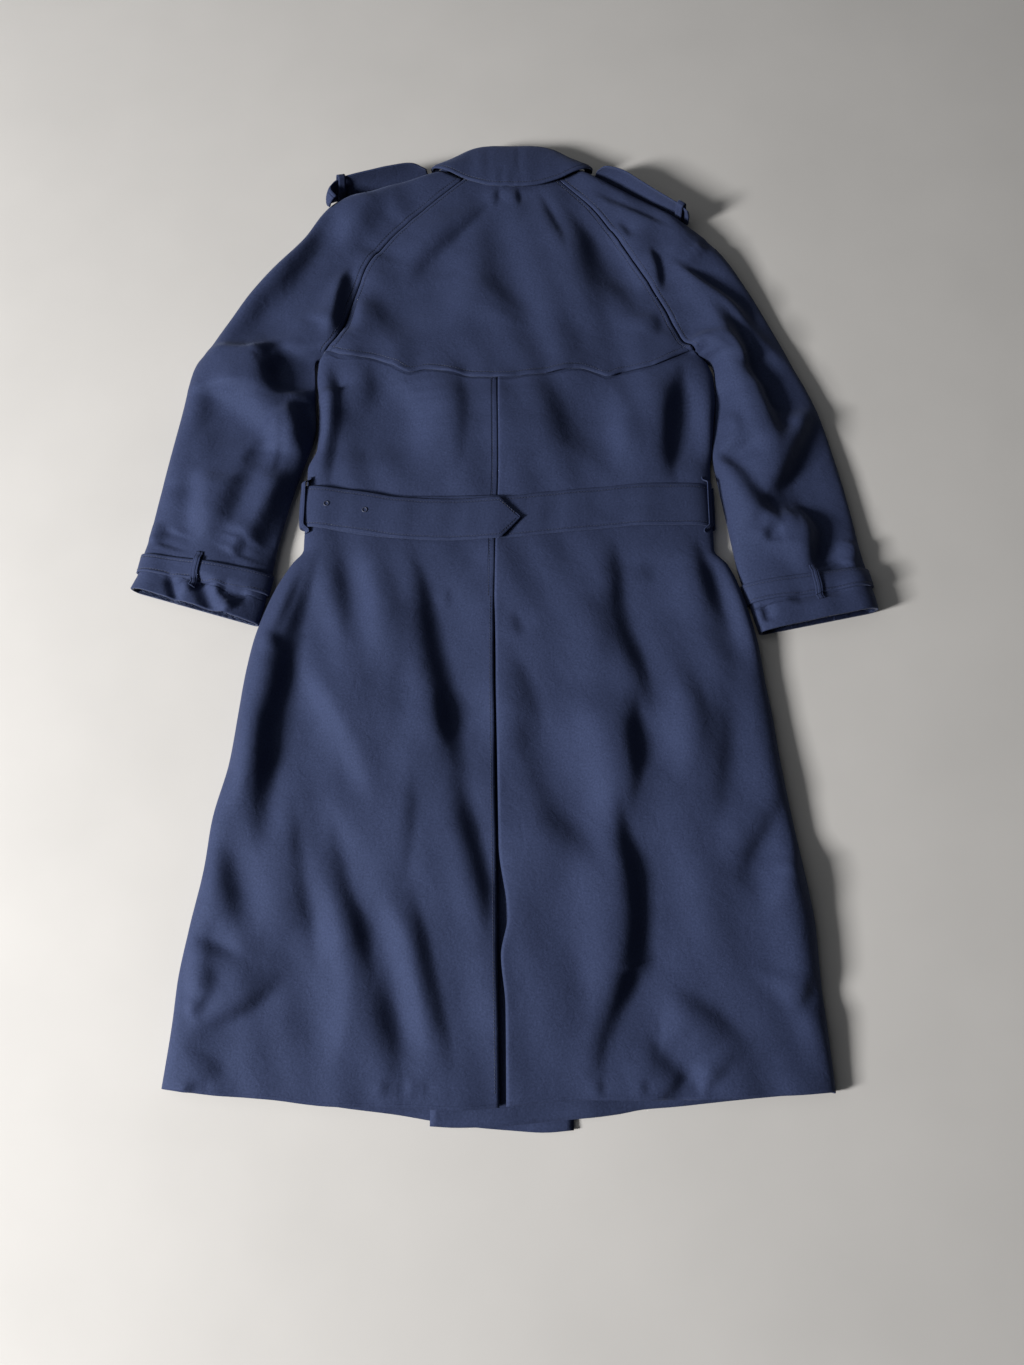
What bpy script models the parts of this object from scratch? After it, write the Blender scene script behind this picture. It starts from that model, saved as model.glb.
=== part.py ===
"""A trench coat laid out on its front, back side up, collar at +Y and hem at -Y.

Each cut piece is a closed wall of cloth. The back and the upper half of each sleeve follow one shared
drape height, so pieces meet at their seams; the fronts and the lower half of each sleeve lie on z = 0.
"""

import math
from collections import namedtuple

import bmesh
import bpy
from mathutils import Vector

# Driving dimensions, in metres
CLOTH = 0.0020  # gabardine with its backing
SEAM_GAP = 0.0003
STRAP_GAP = 0.0004
BELT_WIDTH = 0.054
BELT_THICKNESS = 0.0025
CUFF_STRAP_THICKNESS = 0.0020
SHIELD_THICKNESS = 0.0017
COLLAR_THICKNESS = 0.0022
EDGE_HEIGHT = 0.0110  # height of the folded side edges, where upper and lower walls meet
BODY_LOFT = 0.0240
SLEEVE_LOFT = 0.0300
LOWEST_DRAPE = 0.0150
HIGHEST_DRAPE = 0.0430
UPPER_ROLL = 0.0280  # how far in from a folded edge the upper wall becomes level
LOWER_ROLL = 0.0100
UNDERARM_Y = 0.3105
BELT_Y = 0.100
FRONT_LEFT_EDGE = 0.076  # the left front laps over the right one
FRONT_RIGHT_EDGE = -0.078
LAP_STEP = CLOTH + 0.0004
BREAK_Y = 0.290  # the fronts turn back as lapels above this
BUTTON_RADIUS = 0.0135
BUTTON_THICKNESS = 0.0040
COLLAR_CENTRE_X = 0.010
BELT_RAMP = (0.0813, 0.1210)  # where the belt climbs from the floor to pass the buckle

# Where the folded sides and, above the underarm, the raglan seams run
Side = namedtuple("Side", "y left right")
SIDES = [
    Side(-0.575, -0.3660, 0.3570), Side(-0.500, -0.3590, 0.3520), Side(-0.460, -0.3570, 0.3490),
    Side(-0.405, -0.3490, 0.3475), Side(-0.335, -0.3365, 0.3380), Side(-0.286, -0.3320, 0.3300),
    Side(-0.215, -0.3160, 0.3200), Side(-0.160, -0.3095, 0.3140), Side(-0.118, -0.3050, 0.3080),
    Side(-0.080, -0.2990, 0.3035), Side(-0.055, -0.2930, 0.2985), Side(-0.008, -0.2760, 0.2860),
    Side(0.026, -0.2570, 0.2715), Side(0.045, -0.2435, 0.2560), Side(0.150, -0.2435, 0.2560),
    Side(0.180, -0.2330, 0.2600), Side(0.220, -0.2325, 0.2640), Side(0.250, -0.2345, 0.2670),
    Side(0.278, -0.2375, 0.2660), Side(0.297, -0.2365, 0.2590), Side(UNDERARM_Y, -0.2275, 0.2420),
    Side(0.326, -0.2135, 0.2265), Side(0.3435, -0.2060, 0.2185), Side(0.3885, -0.1950, 0.1965),
    Side(0.4325, -0.1800, 0.1720), Side(0.4745, -0.1510, 0.1485), Side(0.5175, -0.1075, 0.1190),
    Side(0.5650, -0.0545, 0.0720),
]

# Edges that run across the coat: the back's hem, the storm shield's wavy hem and each front's hem
Point = namedtuple("Point", "x y")
BACK_HEM_Y = -0.578
BACK_HEM = [
    Point(-0.365, -0.5685), Point(-0.298, -0.5755), Point(-0.250, -0.5785), Point(-0.185, -0.5855),
    Point(-0.103, -0.5870), Point(-0.050, -0.5890), Point(-0.005, -0.5870), Point(0.001, -0.5860),
    Point(0.042, -0.5820), Point(0.102, -0.5790), Point(0.153, -0.5795), Point(0.221, -0.5785),
    Point(0.280, -0.5760), Point(0.357, -0.5722),
]
SHIELD_HEM_Y = 0.280
SHIELD_HEM = [
    Point(-0.2275, UNDERARM_Y), Point(-0.205, 0.2995), Point(-0.173, 0.2990), Point(-0.143, 0.2895),
    Point(-0.120, 0.2785), Point(-0.098, 0.2825), Point(-0.065, 0.2775), Point(-0.034, 0.2715),
    Point(0.000, 0.2705), Point(0.038, 0.2745), Point(0.098, 0.2845), Point(0.114, 0.2805),
    Point(0.132, 0.2745), Point(0.148, 0.2805), Point(0.185, 0.2855), Point(0.206, 0.2925),
    Point(0.242, UNDERARM_Y),
]
FRONT_LEFT_HEM = [
    Point(-0.365, -0.5665), Point(-0.250, -0.5750), Point(-0.186, -0.5880), Point(-0.117, -0.5965),
    Point(-0.079, -0.6025), Point(-0.041, -0.6080), Point(0.007, -0.6125), Point(0.043, -0.6144),
    Point(0.076, -0.6120),
]
FRONT_RIGHT_HEM = [
    Point(-0.078, -0.6080), Point(-0.050, -0.6095), Point(0.000, -0.6075), Point(0.076, -0.6010),
    Point(0.123, -0.5965), Point(0.151, -0.5917), Point(0.184, -0.5890), Point(0.224, -0.5850),
    Point(0.290, -0.5790), Point(0.357, -0.5740),
]

# The centre back seam, which opens below the waist into the vent
Vent = namedtuple("Vent", "y seam_x opening")
VENT = [
    Vent(-0.585, -0.0030, 0.0070), Vent(-0.480, -0.0050, 0.0080), Vent(-0.430, -0.0060, 0.0040),
    Vent(-0.389, -0.0065, 0.0115), Vent(-0.311, -0.0080, 0.0030), Vent(-0.200, -0.0100, 0.0028),
    Vent(-0.108, -0.0115, 0.0025), Vent(-0.045, -0.0115, 0.0015), Vent(-0.010, -0.0110, 0.0000),
    Vent(0.057, -0.0100, 0.0000), Vent(0.147, -0.0070, 0.0000), Vent(0.276, -0.0080, 0.0000),
    Vent(0.420, -0.0020, 0.0000), Vent(0.560, 0.0050, 0.0000),
]

# The largest folds. A roll is a soft crest with the hollow beside it, on its +X side where it runs down.
Fold = namedtuple("Fold", "kind on width rise path")
FOLDS = [
    Fold("roll", "body", 0.014, 0.0070, [(-0.226, 0.045), (-0.247, -0.060), (-0.268, -0.130),
                                         (-0.281, -0.220), (-0.278, -0.330)]),
    Fold("roll", "body", 0.014, 0.0060, [(-0.112, 0.060), (-0.100, -0.020), (-0.080, -0.110),
                                         (-0.068, -0.170), (-0.055, -0.240), (-0.034, -0.320),
                                         (-0.020, -0.390)]),
    Fold("roll", "body", 0.013, 0.0050, [(-0.319, -0.310), (-0.308, -0.360), (-0.282, -0.420)]),
    Fold("roll", "body", 0.015, 0.0045, [(-0.190, -0.310), (-0.165, -0.390), (-0.150, -0.450)]),
    Fold("roll", "body", 0.014, 0.0040, [(-0.137, -0.470), (-0.128, -0.510), (-0.100, -0.565)]),
    Fold("roll", "body", 0.014, 0.0040, [(-0.092, -0.430), (-0.064, -0.490), (-0.049, -0.575)]),
    Fold("roll", "body", 0.018, 0.0030, [(-0.232, -0.310), (-0.215, -0.400), (-0.203, -0.460)]),
    Fold("roll", "body", 0.014, 0.0060, [(0.130, 0.060), (0.135, -0.020), (0.155, -0.090), (0.175, -0.135)]),
    Fold("roll", "body", 0.013, 0.0045, [(0.144, -0.140), (0.144, -0.200), (0.150, -0.265)]),
    Fold("roll", "body", 0.015, 0.0070, [(0.129, -0.280), (0.143, -0.350), (0.139, -0.420), (0.107, -0.497),
                                         (0.102, -0.570)]),
    Fold("roll", "body", 0.013, 0.0055, [(0.217, 0.070), (0.240, 0.010), (0.266, -0.070)]),
    Fold("roll", "body", 0.016, 0.0040, [(0.000, -0.100), (0.020, -0.150), (0.036, -0.215), (0.060, -0.265),
                                         (0.088, -0.310)]),
    Fold("roll", "body", 0.017, 0.0030, [(0.160, -0.460), (0.216, -0.497), (0.278, -0.547)]),
    Fold("roll", "body", 0.018, 0.0050, [(-0.150, 0.285), (-0.155, 0.190), (-0.128, 0.118)]),
    Fold("roll", "both", 0.013, 0.0045, [(-0.206, 0.300), (-0.208, 0.220), (-0.209, 0.137)]),
    Fold("roll", "body", 0.020, 0.0050, [(0.085, 0.270), (0.060, 0.170), (0.080, 0.120)]),
    Fold("roll", "both", 0.013, 0.0055, [(0.217, 0.285), (0.200, 0.220), (0.209, 0.135)]),
    Fold("roll", "both", 0.016, 0.0055, [(-0.018, 0.545), (-0.070, 0.490), (-0.105, 0.460),
                                         (-0.113, 0.420)]),
    Fold("roll", "both", 0.017, 0.0055, [(0.092, 0.497), (0.144, 0.443), (0.167, 0.410), (0.184, 0.360)]),
    Fold("roll", "both", 0.019, 0.0060, [(-0.225, 0.490), (-0.270, 0.420), (-0.330, 0.335)]),
    Fold("hollow", "sleeve", 0.024, 0.0120, [(-0.300, 0.272), (-0.276, 0.262), (-0.258, 0.235)]),
    Fold("roll", "sleeve", 0.016, 0.0060, [(-0.340, 0.200), (-0.318, 0.150), (-0.335, 0.105),
                                           (-0.378, 0.048)]),
    Fold("roll", "both", 0.016, 0.0060, [(0.230, 0.445), (0.277, 0.408), (0.335, 0.350), (0.366, 0.305)]),
    Fold("roll", "both", 0.016, 0.0055, [(0.278, 0.373), (0.312, 0.290), (0.334, 0.230), (0.335, 0.165)]),
    Fold("roll", "sleeve", 0.016, 0.0070, [(0.387, 0.225), (0.360, 0.175), (0.332, 0.108)]),
    Fold("roll", "sleeve", 0.014, 0.0055, [(0.365, 0.105), (0.384, 0.070), (0.366, 0.020)]),
]

# Places where the lower cloth is lifted by what lies under it: buttons, lapels and belt
Lift = namedtuple("Lift", "x_min x_max y_min y_max fade height")
LIFTS = [
    Lift(-0.1100, 0.1100, -0.165, 0.290, 0.039, 0.0046),
    Lift(-0.1700, 0.1700, 0.300, 0.620, 0.030, 0.0029),
    Lift(-0.3000, BELT_RAMP[0], 0.048, 0.147, 0.025, 0.0090),
    Lift(BELT_RAMP[1], 0.3000, 0.048, 0.147, 0.025, 0.0033),
]

# Sleeve rows below the underarm, from the outer fold to the inner one. strap_lift clears the cuff strap.
SleeveRow = namedtuple("SleeveRow", "outer_x outer_y inner_x inner_y strap_lift")
LEFT_SLEEVE_ROWS = [
    SleeveRow(-0.3930, 0.2890, -0.2405, 0.3010, 0.0), SleeveRow(-0.3990, 0.2640, -0.2405, 0.2780, 0.0),
    SleeveRow(-0.4045, 0.2280, -0.2380, 0.2430, 0.0), SleeveRow(-0.4110, 0.1880, -0.2365, 0.2000, 0.0),
    SleeveRow(-0.4175, 0.1480, -0.2490, 0.1540, 0.0), SleeveRow(-0.4240, 0.1100, -0.2620, 0.1090, 0.0),
    SleeveRow(-0.4300, 0.0700, -0.2720, 0.0640, 0.0), SleeveRow(-0.4330, 0.0520, -0.2765, 0.0400, 0.0),
    SleeveRow(-0.4370, 0.0360, -0.2800, 0.0120, 0.0029),
    SleeveRow(-0.4410, 0.0140, -0.2850, -0.0130, 0.0029),
    SleeveRow(-0.4450, 0.0040, -0.2885, -0.0330, 0.0), SleeveRow(-0.4490, -0.0050, -0.2930, -0.0500, 0.0),
]
RIGHT_SLEEVE_ROWS = [
    SleeveRow(0.3680, 0.2920, 0.2640, 0.2985, 0.0), SleeveRow(0.3840, 0.2570, 0.2705, 0.2680, 0.0),
    SleeveRow(0.3990, 0.2150, 0.2675, 0.2200, 0.0), SleeveRow(0.4100, 0.1700, 0.2635, 0.1690, 0.0),
    SleeveRow(0.4190, 0.1280, 0.2650, 0.1300, 0.0), SleeveRow(0.4260, 0.0900, 0.2725, 0.0850, 0.0),
    SleeveRow(0.4310, 0.0560, 0.2790, 0.0440, 0.0), SleeveRow(0.4340, 0.0390, 0.2830, 0.0200, 0.0),
    SleeveRow(0.4390, 0.0180, 0.2880, -0.0010, 0.0029), SleeveRow(0.4430, -0.0040, 0.2950, -0.0250, 0.0029),
    SleeveRow(0.4465, -0.0170, 0.3000, -0.0440, 0.0), SleeveRow(0.4490, -0.0310, 0.3050, -0.0605, 0.0),
]
STRAP_ROWS = (8, 9)  # the rows along the cuff strap's two edges
LINING_ROWS = (7, 11)

# The sleeve's outer fold above the underarm, opposite each height on the raglan seam
Shoulder = namedtuple("Shoulder", "seam_y left_x left_y right_x right_y")
SHOULDERS = [
    Shoulder(0.3100, -0.3820, 0.3070, 0.3560, 0.3210), Shoulder(0.3435, -0.3570, 0.3490, 0.3380, 0.3600),
    Shoulder(0.3885, -0.3160, 0.4110, 0.3140, 0.4080), Shoulder(0.4325, -0.2680, 0.4700, 0.2830, 0.4580),
    Shoulder(0.4745, -0.2290, 0.5300, 0.2420, 0.4980), Shoulder(0.5175, -0.1650, 0.5560, 0.1850, 0.5370),
    Shoulder(0.5650, -0.0920, 0.5795, 0.1080, 0.5810),
]

# The height of the belt's centre line across the back; the tail's free end lies over it
BELT_LINE = [
    Point(-0.250, 0.1020), Point(-0.126, 0.0835), Point(0.000, 0.0835), Point(0.060, 0.0895),
    Point(0.117, 0.0950), Point(0.172, 0.0995), Point(0.250, 0.1015),
]
TAIL_LINE = [
    Point(-0.250, 0.0995), Point(-0.166, 0.0875), Point(-0.125, 0.0810), Point(-0.065, 0.0785),
    Point(0.021, 0.0810),
]
TAIL_TIP_X = 0.021
TAIL_POINT_LENGTH = 0.027

# Each epaulette from its neck end outwards: its foot behind the shoulder line, and its upper edge
EpauletteRow = namedtuple("EpauletteRow", "foot_x foot_y foot_z top_x top_y top_z")
EPAULETTES = {
    "left": [
        EpauletteRow(-0.1020, 0.5810, 0.0110, -0.1040, 0.5805, 0.0245),
        EpauletteRow(-0.1250, 0.5730, 0.0085, -0.1230, 0.5802, 0.0360),
        EpauletteRow(-0.1530, 0.5650, 0.0075, -0.1522, 0.5725, 0.0400),
        EpauletteRow(-0.1780, 0.5575, 0.0075, -0.1746, 0.5666, 0.0400),
        EpauletteRow(-0.2010, 0.5500, 0.0080, -0.1980, 0.5600, 0.0400),
        EpauletteRow(-0.2180, 0.5440, 0.0095, -0.2135, 0.5543, 0.0400),
        EpauletteRow(-0.2290, 0.5385, 0.0120, -0.2235, 0.5465, 0.0400),
        EpauletteRow(-0.2345, 0.5300, 0.0180, -0.2270, 0.5375, 0.0400),
        EpauletteRow(-0.2300, 0.5195, 0.0270, -0.2190, 0.5270, 0.0395),
    ],
    "right": [
        EpauletteRow(0.1200, 0.5770, 0.0110, 0.1230, 0.5775, 0.0245),
        EpauletteRow(0.1365, 0.5700, 0.0085, 0.1340, 0.5745, 0.0370),
        EpauletteRow(0.1590, 0.5595, 0.0075, 0.1557, 0.5660, 0.0400),
        EpauletteRow(0.1820, 0.5465, 0.0075, 0.1780, 0.5500, 0.0400),
        EpauletteRow(0.2020, 0.5340, 0.0080, 0.1960, 0.5365, 0.0400),
        EpauletteRow(0.2170, 0.5235, 0.0090, 0.2122, 0.5250, 0.0400),
        EpauletteRow(0.2320, 0.5120, 0.0105, 0.2290, 0.5125, 0.0400),
        EpauletteRow(0.2425, 0.5035, 0.0120, 0.2379, 0.5035, 0.0385),
    ],
}
EPAULETTE_THICKNESS = 0.0026
EPAULETTE_BOW = 0.0030
EPAULETTE_TURN = {"left": 7, "right": 9}  # after this row the strap has turned to face the neck
EPAULETTE_LOOP = {"left": 5, "right": 6}

# Half the collar, from the centre back round to the point of the leaf under the coat
CollarRow = namedtuple("CollarRow", "fold_x fold_y fold_z edge_x edge_y edge_z")
COLLAR = [
    CollarRow(0.000, 0.6155, 0.0270, 0.000, 0.5475, 0.0330),
    CollarRow(0.030, 0.6155, 0.0270, 0.030, 0.5490, 0.0330),
    CollarRow(0.053, 0.6110, 0.0260, 0.060, 0.5585, 0.0325),
    CollarRow(0.078, 0.5975, 0.0240, 0.085, 0.5705, 0.0335),
    CollarRow(0.094, 0.5905, 0.0195, 0.103, 0.5805, 0.0260),
    CollarRow(0.098, 0.5905, 0.0100, 0.108, 0.5865, 0.0125),
    CollarRow(0.090, 0.5870, 0.0014, 0.106, 0.5840, 0.0014),
    CollarRow(0.066, 0.5400, 0.0014, 0.124, 0.5290, 0.0014),
    CollarRow(0.044, 0.5060, 0.0014, 0.136, 0.4900, 0.0014),
]
StandPoint = namedtuple("StandPoint", "x foot_y top_y z")
STAND = [
    StandPoint(-0.0740, 0.5765, 0.5810, 0.0150), StandPoint(-0.0650, 0.5735, 0.5900, 0.0175),
    StandPoint(-0.0550, 0.5695, 0.5980, 0.0190), StandPoint(-0.0300, 0.5680, 0.6085, 0.0225),
    StandPoint(0.0100, 0.5680, 0.6100, 0.0225), StandPoint(0.0500, 0.5680, 0.6085, 0.0225),
    StandPoint(0.0740, 0.5695, 0.5980, 0.0190), StandPoint(0.0840, 0.5740, 0.5900, 0.0170),
    StandPoint(0.0920, 0.5780, 0.5820, 0.0150),
]

NAVY = (0.018, 0.028, 0.075, 1.0)
NAVY_LINING = (0.010, 0.014, 0.035, 1.0)
HORN = (0.020, 0.018, 0.022, 1.0)


def smooth(t):
    """0 below 0, 1 above 1, and an even S between."""
    t = min(1.0, max(0.0, t))
    return t * t * (3 - 2 * t)


def read(table, at, column):
    """The table's value at a place in its first column, on a monotone curve through its rows."""
    keys = [row[0] for row in table]
    values = [getattr(row, column) for row in table]
    if at <= keys[0]:
        return values[0]
    if at >= keys[-1]:
        return values[-1]
    i = max(k for k in range(len(keys) - 1) if keys[k] <= at)
    steps = [(values[k + 1] - values[k]) / (keys[k + 1] - keys[k]) for k in range(len(keys) - 1)]

    def slope(k):
        if k in (0, len(keys) - 1) or steps[k - 1] * steps[k] <= 0:
            return 0.0 if 0 < k < len(keys) - 1 else steps[min(k, len(steps) - 1)]
        return 2 * steps[k - 1] * steps[k] / (steps[k - 1] + steps[k])

    span = keys[i + 1] - keys[i]
    t = (at - keys[i]) / span
    return ((1 + 2 * t) * (1 - t) ** 2 * values[i] + t * (1 - t) ** 2 * span * slope(i)
            + t * t * (3 - 2 * t) * values[i + 1] + t * t * (t - 1) * span * slope(i + 1))


def side_x(sign, y):
    return read(SIDES, y, "left" if sign < 0 else "right")


def from_path(path, x, y):
    """Signed distance from a path, positive on its left-hand side, and how far along it lies, 0 to 1."""
    best = None
    count = len(path) - 1
    for k in range(count):
        (ax, ay), (bx, by) = path[k], path[k + 1]
        dx, dy = bx - ax, by - ay
        raw = ((x - ax) * dx + (y - ay) * dy) / (dx * dx + dy * dy)
        t = min(1.0, max(0.0, raw))
        px, py = x - ax - t * dx, y - ay - t * dy
        far = math.hypot(px, py)
        if best is None or far < best[0]:
            best = (far, math.copysign(1.0, dx * py - dy * px), (k + t) / count)
    return best[0] * best[1], best[2]


def fold_height(fold, x, y):
    off, along = from_path(fold.path, x, y)
    if abs(off) > 4 * fold.width:
        return 0.0
    taper = smooth(along / 0.2) * smooth((1 - along) / 0.2) * 0.85 + 0.15
    s = off / fold.width
    if fold.kind == "roll":
        return -fold.rise * taper * s * math.exp(0.5 - s * s / 2)
    return -fold.rise * taper * math.exp(-s * s / 2)


def drape(part, x, y):
    """Height of the upper cloth over the floor, folded edges apart."""
    side = side_x(-1, y) if x < 0 else side_x(1, y)
    loft = BODY_LOFT + (SLEEVE_LOFT - BODY_LOFT) * smooth((abs(x) - abs(side)) / 0.06)
    everywhere = y > UNDERARM_Y - 0.002
    folds = sum(fold_height(f, x, y) for f in FOLDS if everywhere or f.on in (part, "both"))
    calm = 1 - 0.6 * smooth(1 - abs(y - BELT_Y) / 0.06) if part == "body" else 1.0
    return min(HIGHEST_DRAPE, max(LOWEST_DRAPE, loft + folds * calm))


def drape_normal(part, x, y):
    step = 0.001
    slope_x = (drape(part, x + step, y) - drape(part, x - step, y)) / (2 * step)
    slope_y = (drape(part, x, y + step) - drape(part, x, y - step)) / (2 * step)
    return Vector((-slope_x, -slope_y, 1)).normalized()


def underside(x, y):
    """Height of the lower cloth's outer face over the floor, folded edges apart."""
    highest = 0.0
    for lift in LIFTS:
        outside = max(lift.x_min - x, x - lift.x_max, lift.y_min - y, y - lift.y_max, 0.0)
        highest = max(highest, lift.height * max(0.0, 1 - outside / lift.fade))
    return highest


def roll_in(angle, radius, openness):
    """Distance in from an edge at an angle round its roll; a flat seam spaces its columns evenly."""
    return radius * ((1 - math.cos(angle)) * openness + angle / (math.pi / 2) * (1 - openness))


def rounding(distance, radius):
    """Quarter-ellipse rise from 0 at a folded edge to 1 where the cloth lies level."""
    q = 1 - min(1.0, max(0.0, distance / radius))
    return math.sqrt(max(0.0, 1 - q * q))


ROLL_ANGLES = [0.0, math.radians(32), math.radians(62), math.radians(90)]
LOWER_ANGLES = [0.0, math.radians(50), math.radians(90)]

# Rows of the body from hem to neck: their height at the centre, and how far they follow each shaped edge
BodyRow = namedtuple("BodyRow", "y hem shield")
BODY_ROWS = (
    [BodyRow(BACK_HEM_Y, 1.0, 0.0), BodyRow(-0.555, 0.9, 0.0), BodyRow(-0.515, 0.7, 0.0)]
    + [BodyRow(-0.475, 0.4, 0.0), BodyRow(-0.430, 0.15, 0.0), BodyRow(-0.389, 0.0, 0.0)]
    + [BodyRow(-0.350 + 0.039 * k, 0.0, 0.0) for k in range(10)]
    + [BodyRow(y, 0.0, 0.0) for y in (0.028, 0.048, 0.080, 0.112, 0.147, 0.180)]
    + [BodyRow(0.220, 0.0, 0.15), BodyRow(0.252, 0.0, 0.6), BodyRow(SHIELD_HEM_Y, 0.0, 1.0)]
    + [BodyRow(0.312, 0.0, 0.55), BodyRow(0.350, 0.0, 0.15)]
    + [BodyRow(0.350 + 0.0430 * k, 0.0, 0.0) for k in range(1, 6)]
)
SHIELD_ROW = [row.shield for row in BODY_ROWS].index(1.0)
SIDE_PANEL_END = SHIELD_ROW + 1
SIDE_PANEL_WIDTH = 0.034
LAP_END = 0.0805  # both fronts have a column of points here, where the lapped edge ends
BELT_ROWS = [k for k, row in enumerate(BODY_ROWS) if 0.04 < row.y < 0.16]
EDGE_LIFT_AT_SHIELD = UNDERARM_Y - SHIELD_HEM_Y


def openness(k):
    """1 where a row's side is a folded edge, 0 where it is the raglan seam."""
    return 1.0 if k < SHIELD_ROW else 0.4 if k == SHIELD_ROW else 0.0


def row_edge(k, sign, hem_table):
    """The body's edge point of row k on the left (sign -1) or right (sign 1)."""
    row = BODY_ROWS[k]
    outer_hem = read(hem_table, sign * 0.36, "y") - BACK_HEM_Y
    y = row.y + row.shield * EDGE_LIFT_AT_SHIELD + row.hem * outer_hem
    return side_x(sign, y), y


def row_y(k, x, hem_table):
    row = BODY_ROWS[k]
    return (row.y + row.shield * (read(SHIELD_HEM, x, "y") - SHIELD_HEM_Y)
            + row.hem * (read(hem_table, x, "y") - BACK_HEM_Y))


def grid_normals(points, edge_normals):
    """Unit normals, facing up, of a grid of points. edge_normals gives those of the end columns."""
    rows, columns = len(points), len(points[0])
    normals = [[None] * columns for _ in range(rows)]
    for i in range(rows):
        for j in range(columns):
            along = points[min(i + 1, rows - 1)][j] - points[max(i - 1, 0)][j]
            across = points[i][min(j + 1, columns - 1)] - points[i][max(j - 1, 0)]
            normal = across.cross(along)
            if normal.z < 0:
                normal = -normal
            normals[i][j] = normal.normalized()
        for j, given in zip((0, columns - 1), edge_normals(i)):
            if given is not None:
                normals[i][j] = given
    return normals


def outward(points, i, j, centre):
    """Level unit vector away from the centre, square to column j of a grid at row i."""
    along = points[min(i + 1, len(points) - 1)][j] - points[max(i - 1, 0)][j]
    away = Vector((along.y, -along.x, 0)).normalized()
    return away if away.dot(points[i][j] - centre) > 0 else -away


def new_material(name, colour, roughness, metallic=0.0):
    material = bpy.data.materials.new(name)
    material.use_nodes = True
    shader = material.node_tree.nodes["Principled BSDF"]
    shader.inputs["Base Color"].default_value = colour
    shader.inputs["Roughness"].default_value = roughness
    shader.inputs["Metallic"].default_value = metallic
    return material


def new_object(name, points, faces, material):
    mesh = bpy.data.meshes.new(name)
    mesh.from_pydata([tuple(p) for p in points], [], faces)
    shape = bmesh.new()
    shape.from_mesh(mesh)
    bmesh.ops.recalc_face_normals(shape, faces=shape.faces)
    shape.to_mesh(mesh)
    shape.free()
    mesh.shade_smooth()
    mesh.set_sharp_from_angle(angle=math.radians(40))
    mesh.materials.append(material)
    piece = bpy.data.objects.new(name, mesh)
    bpy.context.scene.collection.objects.link(piece)
    return piece


def cell(points, at, layer, i, j, k):
    """Two triangles over a cell of a grid, split the same way whichever way the columns run."""
    a, b, c, d = at(layer, i, j), at(layer, i, k), at(layer, i + 1, k), at(layer, i + 1, j)
    if points[i][j].x < points[i][k].x:
        return [[a, b, c], [a, c, d]]
    return [[a, b, d], [b, c, d]]


def wall(name, points, normals, material, outer=0.0, inner=-CLOTH):
    """A closed wall between two offsets of a grid of points."""
    rows, columns = len(points), len(points[0])
    corners = [points[i][j] + normals[i][j] * offset for offset in (outer, inner)
               for i in range(rows) for j in range(columns)]

    def at(layer, i, j):
        return (layer * rows + i) * columns + j

    faces = []
    for i in range(rows - 1):
        for j in range(columns - 1):
            faces += cell(points, at, 0, i, j, j + 1)
            faces += [face[::-1] for face in cell(points, at, 1, i, j, j + 1)]
    rim = ([(0, j) for j in range(columns)] + [(i, columns - 1) for i in range(1, rows)]
           + [(rows - 1, j) for j in range(columns - 2, -1, -1)] + [(i, 0) for i in range(rows - 2, 0, -1)])
    for (i, j), (k, m) in zip(rim, rim[1:] + rim[:1]):
        faces.append([at(0, i, j), at(1, i, j), at(1, k, m), at(0, k, m)])
    return new_object(name, corners, faces, material)


def band(name, points, normals, material, outer, inner):
    """A closed ring of cloth, between two offsets of a grid whose columns run round."""
    rows, columns = len(points), len(points[0])
    corners = [points[i][j] + normals[i][j] * offset for offset in (outer, inner)
               for i in range(rows) for j in range(columns)]

    def at(layer, i, j):
        return (layer * rows + i) * columns + j

    faces = []
    for j in range(columns):
        after = (j + 1) % columns
        for i in range(rows - 1):
            faces += cell(points, at, 0, i, j, after)
            faces += [face[::-1] for face in cell(points, at, 1, i, j, after)]
        for i in (0, rows - 1):
            faces.append([at(0, i, j), at(1, i, j), at(1, i, after), at(0, i, after)])
    return new_object(name, corners, faces, material)


def strap(name, centres, normals, widths, thickness, material, across=None):
    """A flat strap along a line of centres; each section lies square to its normal."""
    corners = []
    for k, (centre, normal, width) in enumerate(zip(centres, normals, widths)):
        along = centres[min(k + 1, len(centres) - 1)] - centres[max(k - 1, 0)]
        side = across if across is not None else normal.cross(along).normalized()
        for a, b in ((-1, -1), (1, -1), (1, 1), (-1, 1)):
            corners.append(centre + side * (a * width / 2) + normal * (b * thickness / 2))
    faces = [[0, 1, 2, 3], [4 * len(centres) - k for k in (1, 2, 3, 4)]]
    for k in range(len(centres) - 1):
        for c in range(4):
            faces.append([4 * k + c, 4 * k + (c + 1) % 4, 4 * k + 4 + (c + 1) % 4, 4 * k + 4 + c])
    return new_object(name, corners, faces, material)


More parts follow.
